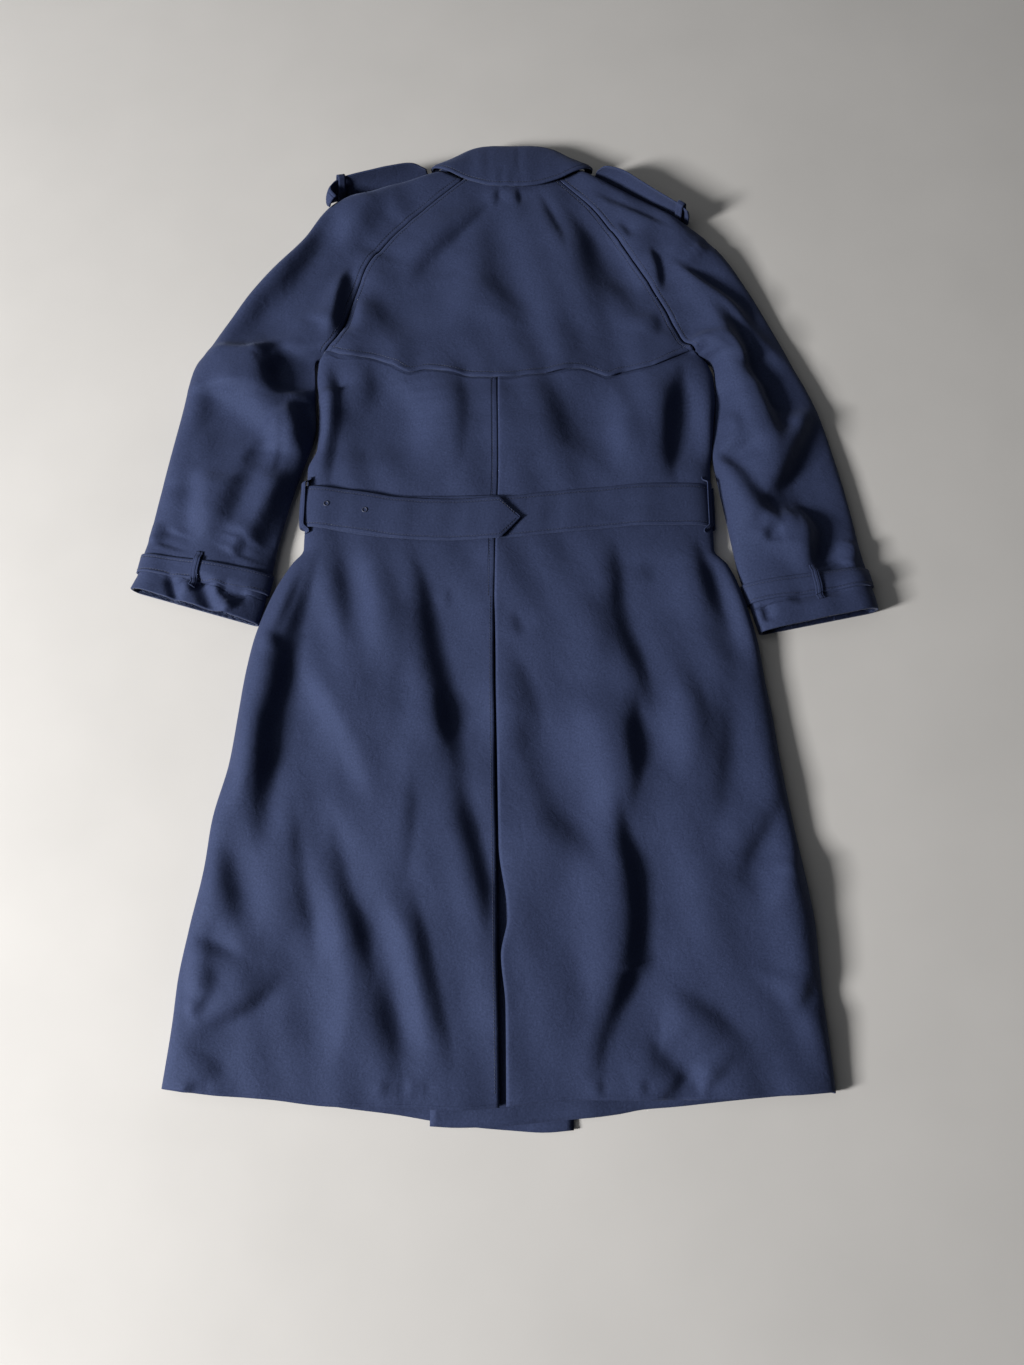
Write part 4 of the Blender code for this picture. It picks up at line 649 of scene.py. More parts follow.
def stitchOn(outer, rows, columns, above=0.00025):
    # keeps a line of stitching over a grid of surface points, at fractional rows and columns
    rows, columns = np.broadcast_arrays(np.asarray(rows, float), np.asarray(columns, float))
    i = np.clip(rows.astype(int), 0, outer.shape[0] - 2)
    j = np.clip(columns.astype(int), 0, outer.shape[1] - 2)
    u, v = (rows - i)[:, None], (columns - j)[:, None]
    line = (outer[i, j] * (1 - u) * (1 - v) + outer[i + 1, j] * u * (1 - v)
            + outer[i, j + 1] * (1 - u) * v + outer[i + 1, j + 1] * u * v)
    line[:, 2] += above
    stitchRuns.append(line)


def columnAt(outer, distance, fromEnd=False):
    # fractional column at a distance from the first or last column, for each row
    run = runAlong(outer[:, ::-1] if fromEnd else outer, 1)
    place = np.array([np.interp(distance, row, np.arange(len(row))) for row in run])
    return outer.shape[1] - 1 - place if fromEnd else place


def stitchDown(outer, rows, distance, ends=(False, True)):
    # stitching at a distance from the first column, the last one or both
    for fromEnd in ends:
        stitchOn(outer, rows, columnAt(outer, distance, fromEnd)[rows])


def stitchAcross(outer, columns, distance, ends=(False,)):
    for fromEnd in ends:
        rows = columnAt(outer.transpose(1, 0, 2), distance, fromEnd)
        stitchOn(outer, np.interp(columns, np.arange(outer.shape[1]), rows), columns)


def layOut(piece, nodes):
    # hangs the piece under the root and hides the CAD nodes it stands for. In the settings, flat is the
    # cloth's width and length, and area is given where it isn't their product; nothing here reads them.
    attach(piece, "root")
    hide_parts(*nodes)


rollAngles = np.radians(np.linspace(0, 90, 10))
lowerAngles = np.radians(np.linspace(0, 90, 6))


def rolled(radius, angles, openness):
    # distances in from an edge round its roll, or evenly over the same width where the edge is a seam
    return radius * ((1 - np.cos(angles)) * openness + angles / (math.pi / 2) * (1 - openness))


def panelPlaces(sign, rows, hemAt, freeX, roll, angles, free):
    # Half of the back or the front, from its side to freeX, as grids: places, distance in from the side, and
    # how far each place has turned down towards the folded side.
    edgeX, edgeY = edgeRow(sign, rows, hemAt)
    openness = openSide(edgeY)[:, None]
    width = np.abs(edgeX - freeX)
    radius = np.minimum(roll, 0.4 * width)[:, None]
    rest = radius + (width[:, None] - radius) * (np.arange(1, free + 1) / free)
    inset = np.concatenate([rolled(radius, angles, openness), rest], 1)
    x = edgeX[:, None] - sign * inset
    y = blendToSide(rowY(x, rows[:, None], hemAt), edgeY[:, None], inset)
    return x, y, inset, openness * (1 - rounding(inset, radius))


backSettings = dict(flat=(0.38, 1.16), area=0.352, rows=306, free=84, ventTop=-0.01, seamStitch=0.007,
                    ventStitch=0.0045, hemFold=0.005, seamGap=0.00015, seamDip=0.0005, underBlend=0.004,
                    underGap=0.0002, stitchEnds=(4, 150, 230))
underlaySettings = dict(flat=(0.066, 0.545), thickness=0.0014, rows=110, columns=16, deeper=0.0070,
                        gapHalf=0.0095)
# shade sets how wide a painted shadow line is on the back just below the shield's hem; under the shield the
# back is painted dark all over
shieldSettings = dict(flat=(0.47, 0.29), area=0.098, rows=84, columns=150, thickness=0.0018, rise=0.0032,
                      riseFade=0.030, flare=0.0030, flareWave=95, flareShift=1.3, flareFade=0.018,
                      seamFade=0.020, hemStitch=0.007, sideStitch=0.006, sideGap=0.0012, shade=0.5)


def shieldOver(x, y):
    # how far the storm shield stands over the drape: most along its hem
    settings, fromHem = shieldSettings, y - shieldHemAt(x)
    toSeam = np.minimum(x - sideLeft(y), sideRight(y) - x)
    flare = settings["flare"] * np.sin(x * settings["flareWave"] + settings["flareShift"])
    flare = flare * np.exp(-fromHem / settings["flareFade"])
    stand = settings["rise"] + np.maximum(flare, 0)
    stand = stand * np.exp(-np.maximum(fromHem, 0) / settings["riseFade"])
    return stand * smooth(toSeam / settings["seamFade"])


def backGrid(sign, settings):
    rows = np.linspace(backHemY, neckY, settings["rows"])
    seam, gap = seamX(rows), settings["seamGap"]
    inner = seam - gap if sign < 0 else seam + np.maximum(gap, ventOpening(rows))
    x, y, inset, folded = panelPlaces(sign, rows, backHemAt, inner, upperRoll, rollAngles, settings["free"])
    high = drape("body", x, y)
    covered = smooth((y - shieldHemAt(x)) / settings["underBlend"])
    high += covered * (shieldOver(x, y) - shieldSettings["rise"] - settings["underGap"])
    high -= seamDip(x - inner[:, None], settings["seamDip"])
    return np.stack([x, y, edgeHeight + (high - edgeHeight) * (1 - folded)], -1)


def makeBack(settings):
    for sign, name in bothHands:
        points = backGrid(sign, settings)
        outer, inner = thicken(points, clothWall)
        fromHem, _, _, toSeam = edgeDistances(outer)
        stitched = (sign < 0) & (points[..., 1] > settings["ventTop"])
        seamAndShadeDistance = np.where(stitched, np.abs(toSeam - settings["seamStitch"]), farFromSeam)
        # painted shadow of the shield's hem on the back, given as a seam line: a darker colour and a slight
        # dip
        paintedShadeUnderShield = shieldSettings["shade"] * np.maximum(shieldHemAt(points[..., 0]) - points[..., 1], 0)
        seamAndShadeDistance = np.minimum(np.minimum(seamAndShadeDistance, np.abs(fromHem - settings["hemFold"])), paintedShadeUnderShield)
        piece = closedWall("back" + name.title(), outer, inner, gabardine, seamAndShadeDistance)
        layOut(piece, ["back_" + name])
        if sign < 0:
            low, vent, high = settings["stitchEnds"]
            stitchDown(outer, np.arange(vent, high), settings["seamStitch"], (True,))
            stitchDown(outer, np.arange(low, vent), settings["ventStitch"], (True,))


def makeVentUnderlay(settings):
    rows = np.linspace(-0.580, -0.035, settings["rows"])
    across = np.linspace(-0.030, 0.036, settings["columns"])
    x = seamX(rows)[:, None] + across
    y = rowY(x, rows[:, None], backHemAt) + 0.002
    dip = settings["deeper"] * np.exp(-((across - 0.005) / settings["gapHalf"]) ** 4)
    z = drape("body", x, y) - clothWall - 0.0009 - dip
    outer, inner = thicken(np.stack([x, y, z], -1), settings["thickness"])
    layOut(closedWall("ventUnderlay", outer, inner, gabardine), ["vent_underlay"])


def makeStormShield(settings):
    rows = np.linspace(shieldHemY, neckY, settings["rows"])
    leftX, leftY = (edge[:, None] for edge in edgeRow(-1, rows, backHemAt))
    rightX, rightY = (edge[:, None] for edge in edgeRow(1, rows, backHemAt))
    across = np.linspace(0, 1, settings["columns"])
    x = (leftX + settings["sideGap"]) * (1 - across) + (rightX - settings["sideGap"]) * across
    toEdge = np.minimum(x - leftX, rightX - x)
    sideY = np.where(across < 0.5, leftY, rightY)
    y = blendToSide(rowY(x, rows[:, None], backHemAt), sideY, toEdge)
    z = drape("body", x, y) + shieldOver(x, y)
    z = edgeHeight + (z - edgeHeight) * (1 - openSide(sideY) * (1 - rounding(toEdge, upperRoll)))
    z -= seamDip(toEdge)
    outer, inner = thicken(np.stack([x, y, z], -1), settings["thickness"])
    fromHem, _, fromLeft, fromRight = edgeDistances(outer)
    fromSide = np.minimum(fromLeft, fromRight)
    seamAndShadeDistance = np.minimum(np.abs(fromHem - settings["hemStitch"]), np.abs(fromSide - settings["sideStitch"]))
    piece = closedWall("stormShield", outer, inner, gabardine, seamAndShadeDistance)
    layOut(piece, ["storm_shield"])
    stitchAcross(outer, np.arange(1, outer.shape[1] - 1, 0.5), settings["hemStitch"])
    stitchDown(outer, np.arange(2, outer.shape[0] - 1), settings["sideStitch"])


# What lies under the coat lifts its lower walls: its place in x and y, how far round it, and how high.
Lift = namedtuple("Lift", "left right low high fade height")
lifts = inMetres(Lift, [
    (-110, 110, -165, 290, 30, 4.6), (-170, 170, 300, 620, 30, 2.9), (-300, 81.3, 48, 147, 25, 9),
    (121, 300, 48, 147, 25, 3.3),
])
frontSettings = dict(flat=(0.45, 1.14), area=0.415, rows=170, free=52, edge={-1: 0.076, 1: -0.078},
                     neck={-1: -0.050, 1: 0.062}, breakY=0.290, topY=0.516, hemStitch=0.030, edgeStitch=0.006,
                     overlap=0.0024, overlapX=0.125, overlapBlend=0.035, hemWave=0.0012, hemWaves=60,
                     hemWaveY=-0.60, hemWaveFade=0.03, hemWaveInset=0.05)


def underside(x, y):
    highest = np.zeros_like(x)
    for lift in lifts:
        outside = np.maximum.reduce([lift.left - x, x - lift.right, lift.low - y, y - lift.high])
        share = 1 - np.maximum(0, outside) / lift.fade
        highest = np.maximum(highest, lift.height * share)
    return highest


def makeFronts(settings):
    for sign, name in bothHands:
        rows = np.linspace(backHemY, settings["topY"], settings["rows"])
        turn = np.clip((rows - settings["breakY"]) / (settings["topY"] - settings["breakY"]), 0, 1)
        freeX = settings["edge"][sign] + (settings["neck"][sign] - settings["edge"][sign]) * turn
        x, y, inset, folded = panelPlaces(sign, rows, frontHemAt[sign], freeX, lowerRoll, lowerAngles,
                                          settings["free"])
        low = underside(x, y)
        if sign > 0:
            over = smooth((settings["overlapX"] - x) / settings["overlapBlend"])
            low = low + settings["overlap"] * over * smooth(inset / settings["overlapBlend"])
        wave = settings["hemWave"] * (1 + np.sin(x * settings["hemWaves"] + 2 * sign))
        wave = wave * np.exp(-(y - settings["hemWaveY"]) / settings["hemWaveFade"])
        low += wave * smooth(inset / settings["hemWaveInset"])
        lower = np.stack([x, y, low + (edgeHeight - edgeGap - low) * folded], -1)
        upper = lower + gridNormals(lower) * clothWall
        fromHem, _, _, toFree = edgeDistances(lower)
        seamAndShadeDistance = np.minimum(np.abs(fromHem - settings["hemStitch"]), np.abs(toFree - settings["edgeStitch"]))
        piece = closedWall("front" + name.title(), upper, lower, gabardine, seamAndShadeDistance)
        layOut(piece, ["front_" + name, "side_" + name])


# armhole, first and last are stations down a sleeve; over strap its lower wall stands off the floor
sleeveSettings = dict(each=11, free=34, armhole=6, strap=(14, 17), strapLift=0.0029, strapBlend=0.8,
                      mostRoll=0.36, seamGap=0.0003, seamStitch=0.006, hemStitch=0.030, underBodyY=0.2)
liningSettings = dict(flat=(0.34, 0.055), slot="lining", first=14, last=18, thickness=0.0009, gap=0.0024,
                      crumple=0.0012)
strapSettings = dict(flat=(0.34, 0.024), held="stretched", first=15, last=16, thickness=0.0020, gap=0.0006,
                     stitch=0.0035)
cuffLoopSettings = dict(flat=(0.010, 0.045), held="stretched", width=0.009, thickness=0.0014, place=0.47,
                        stitch=0.002, foot=0.0010, over=0.0008, blend=0.3, beyond=0.35)


def sleeveStations(sign):
    name = "left" if sign < 0 else "right"
    stations = [(getattr(row, name + "X"), getattr(row, name + "Y"), sideX(sign, row.seamY), row.seamY)
                for row in shoulders]
    dense = flow(stations + [tuple(row) for row in sleeveRows[sign]], sleeveSettings["each"])
    station = np.arange(len(dense)) / sleeveSettings["each"]
    onSeam = station <= sleeveSettings["armhole"]
    dense[onSeam, 2] = sideX(sign, dense[onSeam, 3]) + sign * sleeveSettings["seamGap"]
    return dense, station


def sleeveGrid(sign, upper):
    settings = sleeveSettings
    dense, station = sleeveStations(sign)
    outerPoint, innerPoint = dense[:, None, :2], dense[:, None, 2:]
    width = np.linalg.norm(dense[:, 2:] - dense[:, :2], axis=1)[:, None]
    onSeam = station <= settings["armhole"]
    openness = np.where(onSeam, openSide(dense[:, 3]), 1.0)[:, None]
    angles, roll = (rollAngles, upperRoll) if upper else (lowerAngles, lowerRoll)
    radius = np.minimum(roll, settings["mostRoll"] * width)
    middle = radius + (width - 2 * radius) * (np.arange(1, settings["free"]) / settings["free"])
    last = width - rolled(radius, angles, openness)[:, ::-1]
    inset = np.concatenate([rolled(radius, angles, 1), middle, last], 1)
    share = (inset / width)[..., None]
    x, y = (outerPoint * (1 - share) + innerPoint * share).transpose(2, 0, 1)
    level = rounding(inset, radius) * (1 - openness * (1 - rounding(width - inset, radius)))
    if upper:
        z = edgeHeight + (drape("sleeve", x, y) - edgeHeight) * level
        z -= seamDip(width - inset) * (1 - openness)
    else:
        (first, last), blend = settings["strap"], settings["strapBlend"]
        strap = settings["strapLift"] * smooth((station - first) / blend) * smooth((last - station) / blend)
        low = np.maximum(np.where(y > settings["underBodyY"], underside(x, y), 0), strap[:, None])
        z = edgeHeight - edgeGap + (low - edgeHeight + edgeGap) * level
    return np.stack([x, y, z], -1), station


def sleeveRing(sign, first, last):
    # the sleeve's outer surface round both halves, between two stations
    top, station = sleeveGrid(sign, True)
    low, _ = sleeveGrid(sign, False)
    rows = (station >= first - 1e-6) & (station <= last + 1e-6)
    points = np.concatenate([top[rows], low[rows][:, -2:0:-1]], 1)
    normals = np.concatenate([gridNormals(top)[rows], -gridNormals(low)[rows][:, -2:0:-1]], 1)
    return points, normals


def makeSleeves(settings):
    for sign, name in bothHands:
        points, station = sleeveGrid(sign, True)
        outer, inner = thicken(points, clothWall)
        _, toCuff, _, toSeam = edgeDistances(outer)
        onSeam = (station <= settings["armhole"])[:, None]
        seamAndShadeDistance = np.where(onSeam, np.abs(toSeam - settings["seamStitch"]), farFromSeam)
        seamAndShadeDistance = np.minimum(seamAndShadeDistance, np.abs(toCuff - settings["hemStitch"]))
        piece = closedWall(f"sleeve{name.title()}Back", outer, inner, gabardine, seamAndShadeDistance)
        layOut(piece, [f"sleeve_{name}_back"])
        rows = np.arange(1, settings["armhole"] * settings["each"])
        stitchDown(outer, rows, settings["seamStitch"], (True,))
        points, _ = sleeveGrid(sign, False)
        outer = points + gridNormals(points) * clothWall
        piece = closedWall(f"sleeve{name.title()}Front", outer, points, gabardine)
        layOut(piece, [f"sleeve_{name}_front"])


def makeLinings(settings):
    for sign, name in bothHands:
        points, normals = sleeveRing(sign, settings["first"], settings["last"])
        rows = np.linspace(1, 0, len(points))[:, None, None]
        turn = np.arange(points.shape[1])[None, :, None]
        crumple = (1 + np.sin(turn * 0.55 + rows * 5)) * (1 + 0.6 * np.sin(turn * 1.3 + 2 + rows * 9)) * rows
        outer = points - normals * (settings["gap"] + settings["crumple"] * crumple)
        inner = outer - normals * settings["thickness"]
        piece = closedWall("cuffLining" + name.title(), outer, inner, liningCloth, ring=True)
        layOut(piece, ["cuff_lining_" + name])


def ribbon(name, centres, normals, widths, settings, across=None, columns=6, crown=0.0004, creased=None):
    # a flat strap along a line of centres, with soft edges and a little crown
    thickness, normals = settings["thickness"], unit(normals)
    if across is None:
        across = np.cross(normals, np.gradient(centres, axis=0))
    side = unit(np.broadcast_to(across, centres.shape))
    share = np.sin(np.linspace(-math.pi / 2, math.pi / 2, columns + 3))
    widths = np.broadcast_to(widths, len(centres))[:, None]
    flat = centres[:, None] + side[:, None] * (share * widths / 2)[..., None]
    softEdge = thickness * 0.35 * np.abs(share) ** 12
    puff = np.broadcast_to(crown * (1 - share ** 2) - softEdge, flat.shape[:2])
    if creased:
        puff = puff + creased(centres[:, :1], share)
    outer = flat + normals[:, None] * (thickness / 2 + puff)[..., None]
    inner = flat - normals[:, None] * (thickness / 2 - softEdge)[None, :, None]
    _, _, over, back = edgeDistances(outer)
    seamAndShadeDistance = np.abs(np.minimum(over, back) - settings["stitch"])
    return closedWall(name, outer, inner, beltCloth, seamAndShadeDistance), outer


def makeCuffStraps(settings, loopSettings):
    first, last, gap, thickness = (settings[key] for key in ("first", "last", "gap", "thickness"))
    for sign, name in bothHands:
        strapName = "cuffStrap" + name.title()
        points, normals = sleeveRing(sign, first, last)
        outer = points + normals * (gap + thickness)
        fromTop, toBottom, _, _ = edgeDistances(outer)
        seamAndShadeDistance = np.abs(np.minimum(fromTop, toBottom) - settings["stitch"])
        piece = closedWall(strapName, outer, points + normals * gap, beltCloth, seamAndShadeDistance, ring=True)
        layOut(piece, ["cuff_strap_" + name])
        top, station = sleeveGrid(sign, True)
        columns = top.shape[1]
        stitchAcross(outer[:, :columns], np.arange(2, columns - 2, 0.5), settings["stitch"], (False, True))
        rows = np.nonzero((station > first - 0.5) & (station < last + 0.6))[0]
        place = (rows, int(columns * loopSettings["place"]))
        up = gridNormals(top)[place]
        beyond, blend = loopSettings["beyond"], loopSettings["blend"]
        over = smooth((station[rows] - first + beyond) / blend)
        over = over * smooth((last + beyond - station[rows]) / blend)
        height = loopSettings["foot"] + (gap + thickness + loopSettings["over"]) * over
        centres = top[place] + up * height[:, None]
        loop, _ = ribbon("cuffLoop" + name.title(), centres, up, loopSettings["width"], loopSettings,
                         columns=4)
        layOut(loop, ["cuff_loop_" + name])


beltSettings = dict(flat=(0.60, 0.054), held="stretched", thickness=0.0026, margin=0.0007, stitch=0.0045,
                    edges={-1: -0.2435, 1: 0.2505}, columns=22, crown=0.0010)
tailSettings = dict(flat=(0.31, 0.054), area=0.0155, thickness=0.0026, stitch=0.0045, tip=0.021, point=0.027,
                    lift=0.0034, tipLift=0.0016, tipReach=0.09, narrower=0.001, bluntTip=0.0008,
                    eyelets=((-0.216, 0.0985), (-0.169, 0.0905)), ring=0.0028, ringWidth=0.0008,
                    ringHeight=0.0006, ringAbove=0.0003)
beltLoopSettings = dict(flat=(0.010, 0.082), held="stretched", width=0.010, reach=0.036, thickness=0.0016,
                        angle=38, stitch=0.0022, foot=0.0016, over=0.0010, layerGap=0.0009, overReach=0.0335,
                        blend=0.006, slack=0.0030)
beltWaves = ((0.00028, 88, 0.8, 0.0), (0.00022, 147, -1.1, 1.7))  # height, how close, lean and shift
# middle and spread are shares of half the belt's width
Wrinkle = namedtuple("Wrinkle", "depth x reach lean middle spread")
beltWrinkles = [
    Wrinkle(0.0008, 0.168, 0.020, 0.030, 0.0, 0.22), Wrinkle(0.0005, 0.118, 0.016, -0.022, -0.2, 0.45),
    Wrinkle(0.0005, 0.212, 0.010, 0.020, 0.35, 0.30), Wrinkle(0.0004, 0.062, 0.014, 0.016, 0.1, 0.50),
]


def beltCreases(x, share):
    # slow waves along the belt, and the wrinkles near its right loop
    height = sum(high * np.sin(x * close + share * lean + shift) for high, close, lean, shift in beltWaves)
    for mark in beltWrinkles:
        along, over = (x - mark.x - mark.lean * share) / mark.reach, (share - mark.middle) / mark.spread
        height = height - mark.depth * np.exp(-along ** 2 - over ** 2)
    return height * (1 - share ** 6)


def beltProfile(line, halfWidth=0.027):
    # where the back's outer surface lies under the belt, from side to side: centres and normals
    left, right = beltSettings["edges"][-1], beltSettings["edges"][1]
    roll = upperRoll * (1 - np.cos(np.radians(np.linspace(0, 90, 12))))
    middle = np.linspace(left + upperRoll, right - upperRoll, 150)[1:-1]
    x = np.concatenate([left + roll, middle, (right - roll)[::-1]])
    inset = np.minimum(x - left, right - x)
    across = np.linspace(-halfWidth, halfWidth, 13)
    highest = drape("body", np.repeat(x[:, None], len(across), 1), line(x)[:, None] + across).max(1)
    highest = np.maximum(highest, np.convolve(np.pad(highest, 4, mode="edge"), np.ones(9) / 9, mode="valid"))
    centres = np.stack([x, line(x), edgeHeight + (highest - edgeHeight) * rounding(inset, upperRoll)], -1)
    slope = np.gradient(centres, axis=0)
    normals = np.stack([-slope[:, 2], np.zeros_like(x), slope[:, 0]], -1)
    normals[0], normals[-1] = (-1, 0, 0), (1, 0, 0)
    return centres, unit(normals)


def makeBelt(settings, tailSettings):
    width, thickness, margin = settings["flat"][1], settings["thickness"], settings["margin"]
    look = dict(across=(0, 1, 0), columns=settings["columns"], crown=settings["crown"], creased=beltCreases)
    centres, normals = beltProfile(beltAt)
    centres = centres + normals * (margin + thickness / 2)
    belt, outer = ribbon("beltBack", centres, normals, width, settings, **look)
    layOut(belt, ["belt_back"])
    stitchDown(outer, np.arange(60, outer.shape[0] - 2), settings["stitch"])
    centres, normals = beltProfile(tailAt)
    tip, point = tailSettings["tip"], tailSettings["point"]
    kept = int((centres[:, 0] < tip - point).sum())
    x = np.concatenate([centres[:kept, 0], np.linspace(tip - point, tip, 10)])
    place = np.stack([x, tailAt(x), np.interp(x, centres[:, 0], centres[:, 2])], -1)
    up = np.stack([np.interp(x, centres[:, 0], normals[:, k]) for k in range(3)], -1)
    place[:kept], up[:kept] = centres[:kept], normals[:kept]
    pointed = np.clip((tip + tailSettings["bluntTip"] - x) / point, 0.03, 1.0)
    widths = (width - tailSettings["narrower"]) * pointed
    tipLift = tailSettings["tipLift"] * smooth((x - tip) / tailSettings["tipReach"] + 1)
    lift = margin + thickness / 2 + tailSettings["lift"] + tipLift
    tail, outer = ribbon("beltTail", place + up * lift[:, None], up, widths, tailSettings, **look)
    layOut(tail, ["belt_tail"])
    stitchDown(outer, np.arange(2, kept + 7), tailSettings["stitch"])
    rings = []
    for eyeletX, eyeletY in tailSettings["eyelets"]:
        row = int(np.argmin(np.abs(place[:, 0] - eyeletX)))
        aside = (0, eyeletY - tailAt(eyeletX), tailSettings["ringAbove"])
        rings.append((outer[row, outer.shape[1] // 2] + aside, up[row]))
    makeEyelets(rings, tailSettings)


def circle(count):
    return np.linspace(0, fullTurn, count + 1)[:-1]


def makeEyelets(rings, settings, around=28, about=8):
    # small worked eyelets in the belt's free end
    turns, tube = circle(around)[:, None, None], circle(about)[None, :, None]
    radius = settings["ring"] + settings["ringWidth"] * np.cos(tube)
    index = np.arange(around * about).reshape(around, about)
    after, beside = np.roll(index, -1, 0), np.roll(index, -1, 1)
    cells = np.stack([index, after, np.roll(after, -1, 1), beside], -1).reshape(-1, 4)
    points = []
    for centre, up in rings:
        first = unit(np.cross(up, (0, 1, 0)))
        outwards = np.cos(turns) * first + np.sin(turns) * np.cross(up, first)
        body = centre + outwards * radius + up * settings["ringHeight"] * np.sin(tube)
        points.append(body.reshape(-1, 3))
    quads = np.concatenate([cells + k * around * about for k in range(len(rings))])
    piece = addPiece("beltEyelets", np.concatenate(points), quads, thread)
    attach(piece, "root")


def makeBeltLoops(settings):
    angle, reach = math.radians(settings["angle"]), settings["reach"]
    along = np.linspace(-reach, reach, 41)
    over = smooth((settings["overReach"] - np.abs(along)) / settings["blend"])
    layer = beltSettings["thickness"] + settings["layerGap"]
    for (sign, name), layers, slack in zip(bothHands, (2, 1), (0, settings["slack"])):
        edge = beltSettings["edges"][sign]
        y = float(beltAt(edge)) + along
        x = np.full(len(along), edge - sign * upperRoll * (1 - math.cos(angle)))
        z = edgeHeight + (drape("body", x, y) - edgeHeight) * math.sin(angle)
        up = np.array([sign * math.cos(angle), 0, math.sin(angle)])
        height = settings["foot"] + over * (settings["over"] + layers * layer + slack)
        loop, _ = ribbon("beltLoop" + name.title(), np.stack([x, y, z], -1) + up * height[:, None],
                         np.repeat(up[None], len(along), 0), settings["width"], settings, columns=5)
        layOut(loop, ["belt_loop_" + name])


# one half of the collar, from its middle to its end
CollarRow = namedtuple("CollarRow", "foldX foldY foldZ edgeX edgeY edgeZ")
collarRows = inMetres(CollarRow, [
    (0, 615.5, 27, 0, 547.5, 33), (30, 615.5, 27, 30, 549, 33), (53, 611, 26, 60, 558.5, 32.5),
    (78, 597.5, 24, 85, 570.5, 33.5), (94, 590.5, 19.5, 103, 580.5, 26), (98, 590.5, 10, 108, 586.5, 12.5),
    (90, 587, 1.4, 106, 584, 1.4), (66, 540, 1.4, 124, 529, 1.4), (44, 506, 1.4, 136, 490, 1.4),
])
collarSettings = dict(
    flat=(0.40, 0.075), area=0.022, held="folded", centreX=0.010, thickness=0.0024, columns=26, each=9,
    crown=0.0035, foldDrop=0.0030, foldRoll=0.16, stitch=0.005, floor=0.0013, raisedZ=0.012,
    pucker=0.0005, puckers=420, puckerX=0.008, puckerReach=0.022,
    creases=(  # where, how wide and how deep
        (0.019, 0.0050, 0.0012), (-0.022, 0.0060, 0.0007), (-0.045, 0.0090, 0.0008), (0.047, 0.0120, 0.0007)),
)


def makeCollar(settings):
    mirrored = [CollarRow(-row.foldX, *row[1:3], -row.edgeX, *row[4:]) for row in collarRows[:0:-1]]
    dense = flow(mirrored + collarRows, settings["each"])
    dense[:, [2, 5]] = np.maximum(dense[:, [2, 5]], settings["floor"])
    t = np.linspace(0, 1, settings["columns"])
    fold, edge = dense[:, None, :3], dense[:, None, 3:]
    points = fold + (edge - fold) * t[None, :, None]
    points[..., 0] += settings["centreX"]
    x = points[..., 0]
    raised = smooth(dense[:, 5] / settings["raisedZ"] - 1)[:, None]
    bulge = settings["crown"] * np.sin(math.pi * t) ** 0.7
    bulge = bulge - settings["foldDrop"] * (1 - rounding(t, settings["foldRoll"]))
    nearMiddle = np.exp(-((x - settings["puckerX"]) / settings["puckerReach"]) ** 2)
    pucker = settings["pucker"] * np.sin(x * settings["puckers"]) * nearMiddle * smooth((t - 0.5) / 0.4)
    creases = sum(depth * np.exp(-((x - place) / reach) ** 2) for place, reach, depth in settings["creases"])
    creases = creases * smooth(t / 0.25) * (1 - 0.6 * smooth((t - 0.75) / 0.25))
    points[..., 2] += raised * (bulge + pucker - creases)
    normals = unit(np.cross(np.gradient(points, axis=0), np.gradient(points, axis=1)))
    if normals[len(normals) // 2, 8, 2] < 0:
        normals = -normals
    half = normals * settings["thickness"] / 2
    outer, inner = points + half, points - half
    toEdge = edgeDistances(outer)[3]
    piece = closedWall("collarFall", outer, inner, gabardine, np.abs(toEdge - settings["stitch"]))
    layOut(piece, ["collar"])
    hidden = 4 * settings["each"]  # the ends, turned under
    stitchDown(outer, np.arange(hidden, len(dense) - hidden), settings["stitch"], (True,))


StandPoint = namedtuple("StandPoint", "x footY topY z")
standRows = inMetres(StandPoint, [
    (-86, 576, 588.5, 14), (-74, 574, 592.5, 15), (-65, 572, 594.5, 17.5), (-55, 569.5, 598, 19),
    (-30, 568, 608.5, 22.5), (10, 568, 610, 22.5), (50, 568, 608.5, 22.5), (74, 569.5, 598, 19),
    (84, 573, 594.5, 17), (92, 576, 591.5, 15), (102, 578, 588, 13),
])
standSettings = dict(flat=(0.18, 0.038), held="folded", each=6, columns=10)


def makeCollarStand(settings):
    x, footY, topY, z = flow(standRows, settings["each"]).T[..., None]
    share = np.linspace(0, 1, settings["columns"])
    points = np.stack(np.broadcast_arrays(x, footY * (1 - share) + topY * share, z), -1)
    outer, inner = thicken(points, clothWall)
    layOut(closedWall("collarStand", outer, inner, gabardine), ["collar_stand"])


EpauletteRow = namedtuple("EpauletteRow", "footX footY footZ topX topY topZ")
epauletteRows = {"left": inMetres(EpauletteRow, [
    (-102, 581, 11, -104, 580.5, 24.5), (-125, 573, 8.5, -123, 580.2, 36),
    (-153, 565, 7.5, -152.2, 572.5, 40), (-178, 557.5, 7.5, -174.6, 566.6, 40),
    (-201, 550, 8, -198, 560, 40), (-218, 544, 9.5, -213.5, 554.3, 40),
    (-229, 538.5, 12, -223.5, 546.5, 40), (-234.5, 530, 18, -227, 537.5, 40),
    (-230, 519.5, 27, -219, 527, 39.5),
]), "right": inMetres(EpauletteRow, [
    (120, 577, 11, 123, 577.5, 24.5), (136.5, 570, 8.5, 134, 574.5, 37), (159, 559.5, 7.5, 155.7, 566, 40),
    (182, 546.5, 7.5, 178, 550, 40), (202, 534, 8, 196, 536.5, 40), (217, 523.5, 9, 212.2, 525, 40),
    (232, 512, 10.5, 229, 512.5, 40), (242.5, 503.5, 12, 237.9, 503.5, 38.5),
])}
